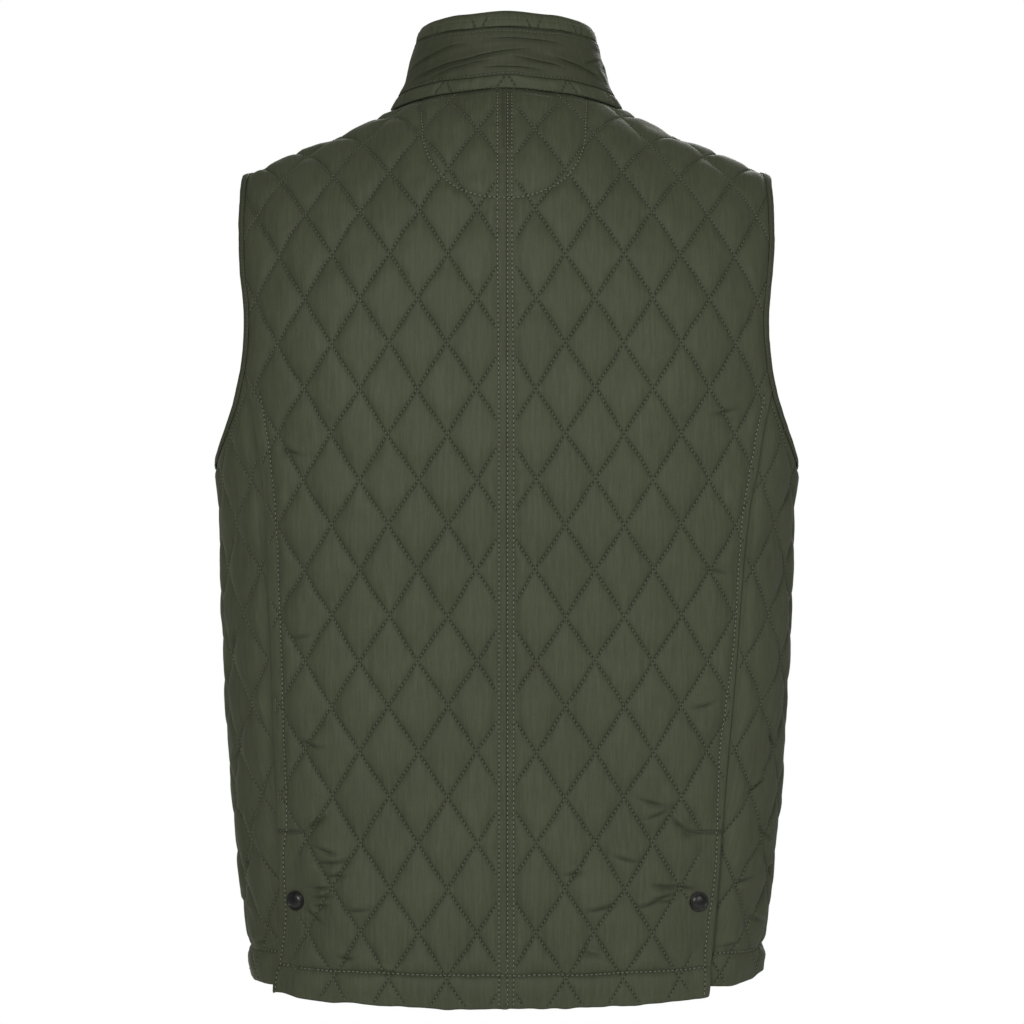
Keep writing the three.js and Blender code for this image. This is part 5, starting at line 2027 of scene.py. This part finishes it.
@dataclass
class Vest:
    """The whole quilted vest."""

    form: BodyForm = field(default_factory=BodyForm)
    quilting: Quilting = Quilting()
    seam_thread: Thread = Thread(pitch=3.6, length=2.4, radius=0.32, dimple=0.6, pale=True)
    bar_thread: Thread = Thread(pitch=1.5, length=1.7, radius=0.24, dimple=0.8)
    bar_lengths: dict[Side, float] = field(default_factory=lambda: {Side.LEFT: 24.0, Side.RIGHT: 29.0})
    moon_widths: dict[Side, float] = field(default_factory=lambda: {Side.LEFT: 64.5, Side.RIGHT: 60.0})
    moon_top: float = 190.0
    moon_drop: float = 66.0
    centre_row: float = 5.5
    seam_row: float = 0.95
    hem_row: float = 25.5
    back_folds: dict[Side, tuple[Fold, ...]] = field(default_factory=lambda: {
        Side.LEFT: (
            Fold(120, -405, 8, 95, 13, 1.9), Fold(88, -448, -4, 80, 11, -1.5),
            Fold(168, -120, 66, 120, 15, 1.7),
            Crease(147, -352, -39, 32, 1.9, 2.4), Crease(138, -372, 15, 26, 1.97, 1.5),
            Crease(135, -381, -3, 36, 2.3, 2), Crease(131, -391, -6, 24, 1.97, 1.5),
            Crease(143, -401, -4, 24, 1.7, 1.6), Crease(142, -407.5, -8, 26, 1.7, 1.8),
            Crease(143, -414, -10, 24, 1.7, 1.5), Crease(150, -421, 30, 26, 2.05, 1.8),
            Crease(113, -417, -5, 24, 2.05, 1.5), Crease(123, -453, 0, 20, 1.97, 1.4),
            Crease(92, -463, 12, 22, 1.97, 1.4), Crease(166, -70, 18, 30, 2.3, 1.4),
            Crease(158, -210, -10, 26, 2.13, 1.2), Crease(150, -292, 14, 28, 2.13, 1.4),
        ),
        Side.RIGHT: (
            Fold(100, -398, 10, 105, 13, 1.9), Fold(70, -440, -6, 85, 12, -1.6),
            Fold(172, -128, 64, 120, 15, 1.7),
            Crease(111, -335, -16, 32, 2.05, 1.7), Crease(114, -344, 20, 26, 2.05, 1.5),
            Crease(131, -352, -40, 24, 2.13, 2.1), Crease(90, -377, -14, 28, 2.05, 1.5),
            Crease(122, -398, -8, 36, 2, 1.9), Crease(121, -405, 6, 34, 2, 1.8),
            Crease(137, -400, -12, 26, 2.05, 1.8),
            Crease(111, -410, 23, 34, 2.3, 2.2), Crease(122, -409, 2, 26, 2.05, 1.5),
            Crease(72, -415, 16, 32, 2.3, 1.8), Crease(52, -388, 8, 22, 2.05, 1.4),
            Crease(64, -449, -10, 24, 1.97, 1.4), Crease(168, -40, 12, 30, 2.3, 1.4),
            Crease(160, -160, -14, 30, 2.13, 1.4), Crease(152, -262, 12, 28, 2.13, 1.4),
        ),
    })
    front_folds: dict[Side, tuple[Fold, ...]] = field(default_factory=lambda: {
        Side.LEFT: (Fold(250, -112, 28, 110, 16, -2.2), Fold(262, -245, 14, 90, 15, -1.8),
                    Fold(120, -330, -12, 120, 16, 1.6),
                    Crease(330, -300, 35, 34, 2.4, 1.6), Crease(318, -345, -20, 36, 2.4, 1.7),
                    Crease(322, -385, 28, 34, 2.4, 1.7), Crease(300, -420, -14, 38, 2.4, 1.6),
                    Crease(322, -446, 8, 30, 2.2, 1.6), Crease(292, -372, 40, 30, 2.4, 1.3),
                    Crease(338, -215, 60, 40, 2.6, 1.3)),
        Side.RIGHT: (Fold(250, -118, 30, 110, 16, -2.2), Fold(258, -262, 10, 95, 15, -1.8),
                     Fold(128, -318, -14, 115, 16, 1.6),
                     Crease(336, -290, 30, 36, 2.4, 1.6), Crease(352, -325, -30, 34, 2.4, 1.7),
                     Crease(330, -362, 24, 38, 2.4, 1.7), Crease(350, -398, -16, 34, 2.4, 1.7),
                     Crease(322, -428, 12, 38, 2.4, 1.6), Crease(352, -446, -6, 28, 2.2, 1.5),
                     Crease(306, -392, 44, 30, 2.4, 1.3)),
    })
    side_insets: dict[Side, Curve] = field(default_factory=lambda: {
        Side.LEFT: Curve((-684, -667, -630, -577, -548, -400, -225), (3.5, 3.5, 7.6, 5.4, 9.4, 10.3, 11.8)),
        Side.RIGHT: Curve((-684, -638, -577, -500, -402, -300, -225), (4.7, 7.1, 4.0, 8.3, 4.2, 7.2, 7.8)),
    })

    def __post_init__(self) -> None:
        """Cuts the pattern."""
        self.pattern = Pattern(self.form)

    def half_moon(self, side: Side) -> Array:
        """The curved row of stitching under the collar, from the middle outwards."""
        turn = np.linspace(0, math.pi / 2, 60)
        width = self.moon_widths[side]
        bowl = np.stack([width * np.sin(turn) ** 0.87,
                         self.moon_top - self.moon_drop * np.cos(turn) ** 0.87], 1)
        return np.concatenate([bowl, [[width + 1.0, 215.0], [width + 2.5, 236.0]]])

    def back_rows(self, side: Side) -> list[SeamRow]:
        """The seam rows of half the back: centre, half-moon, side, hem and vent bar."""
        pattern, thread = self.pattern, self.seam_thread
        yoke = self.form.yoke
        hem_up = pattern.hem_middle - yoke
        neck_up = pattern.neck_point(Face.BACK, 0.0, 0.0)[1]
        ups = np.linspace(hem_up + 1, neck_up, 80)
        drift = 1.3 * smoothstep(ups, -60, 120) * side.value
        centre = np.stack([self.centre_row + drift, ups], 1)
        rows = [SeamRow(centre, thread, depth=0.5, hold=3.0, ripple=0.45)]
        if side is Side.RIGHT:
            seam = np.full(len(ups), self.seam_row)
            rows.append(SeamRow(np.stack([seam, ups], 1), thread, depth=0.4, hold=2.5))
        rows.append(SeamRow(self.half_moon(side), thread, depth=0.7))
        heights = np.linspace(-684.0, -225.0, 80)
        inset = self.side_insets[side].read(heights)
        seam = np.array([pattern.seam_across(side, z) for z in heights])
        rows.append(SeamRow(np.stack([seam - inset, heights - yoke], 1), thread))
        edge = pattern.seam_across(side, -660.0) - 5
        across = np.linspace(0.5, edge, 40)
        lift = 3.5 * (across / edge) ** 2
        rows.append(SeamRow(np.stack([across, hem_up + self.hem_row + lift], 1), thread,
                            depth=1.4, width=1.3, shade=1.0, ripple=0.6))
        top = pattern.vent_top - yoke
        start = pattern.seam_across(side, pattern.vent_top) - 1.5
        reach = self.bar_lengths[side]
        for shift in (0.0, 1.0):
            line = np.array([[start - reach, top + shift], [start, top + shift]])
            rows.append(SeamRow(line, self.bar_thread, depth=1.3, width=1.5, shade=1.0))
        return rows

    def front_rows(self, side: Side) -> list[SeamRow]:
        """The seam rows of a front: hem, and the edge that laps over."""
        pattern, thread = self.pattern, self.seam_thread
        yoke = self.form.yoke
        floor = pattern.hem_front - yoke
        reach = pattern.front_reach(side, -655.0)
        rows = [SeamRow(np.array([[-pattern.lap_beyond + 1, floor + 26], [reach, floor + 26]]), thread)]
        if side is Side.LEFT:
            edge = -pattern.lap_beyond + 6
            top = pattern.neck_point(Face.FRONT, 0.0, 0.0)[1]
            rows.append(SeamRow(np.array([[edge, floor + 1], [edge, top]]), thread))
        return rows

    def panels(self) -> list[Panel]:
        """The four quilted panels."""
        found = []
        pattern = self.pattern
        for side in Side:
            stud = (pattern.seam_across(side, pattern.vent_stud_z) - pattern.stud_from_edge,
                    pattern.vent_stud_z - self.form.yoke)
            found.append(Panel(
                f"back_{side.word}", Face.BACK, side, pattern, self.quilting, pattern.back(side),
                self.back_folds[side], [stud], self.back_rows(side), hem_puff=2.2))
            studs = [(0.0, z - self.form.yoke) for z in np.linspace(-92, -600, 6)]
            found.append(Panel(
                f"front_{side.word}", Face.FRONT, side, pattern, self.quilting, pattern.front(side),
                self.front_folds[side], studs if side is Side.LEFT else [], self.front_rows(side),
                laps=side is Side.RIGHT, divisions=17, hem_puff=3.0))
        return found

    def build(self, finish: Finishes) -> None:
        """Builds every piece of the vest."""
        for panel in self.panels():
            panel.dress(finish)
        for side in Side:
            Binding(self.pattern, side).dress(finish)
        Collar(self.pattern, self.quilting).dress(finish)
        stud = PressStud()
        cap = stud.model()
        nodes = ["vent_stud_left", "vent_stud_right", "collar_stud"]
        nodes += [f"front_stud_{number}" for number in range(1, 7)]
        for node in nodes:
            stud.set_at(cap, node, finish)
        bpy.data.objects.remove(cap)
        log.info("%d press studs", len(nodes))


def main() -> None:
    """Loads the frame, then builds the studio and the vest."""
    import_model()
    Studio().build()
    vest = Vest()
    vest.build(Finishes.make(vest.quilting))


if __name__ == "__main__":
    main()
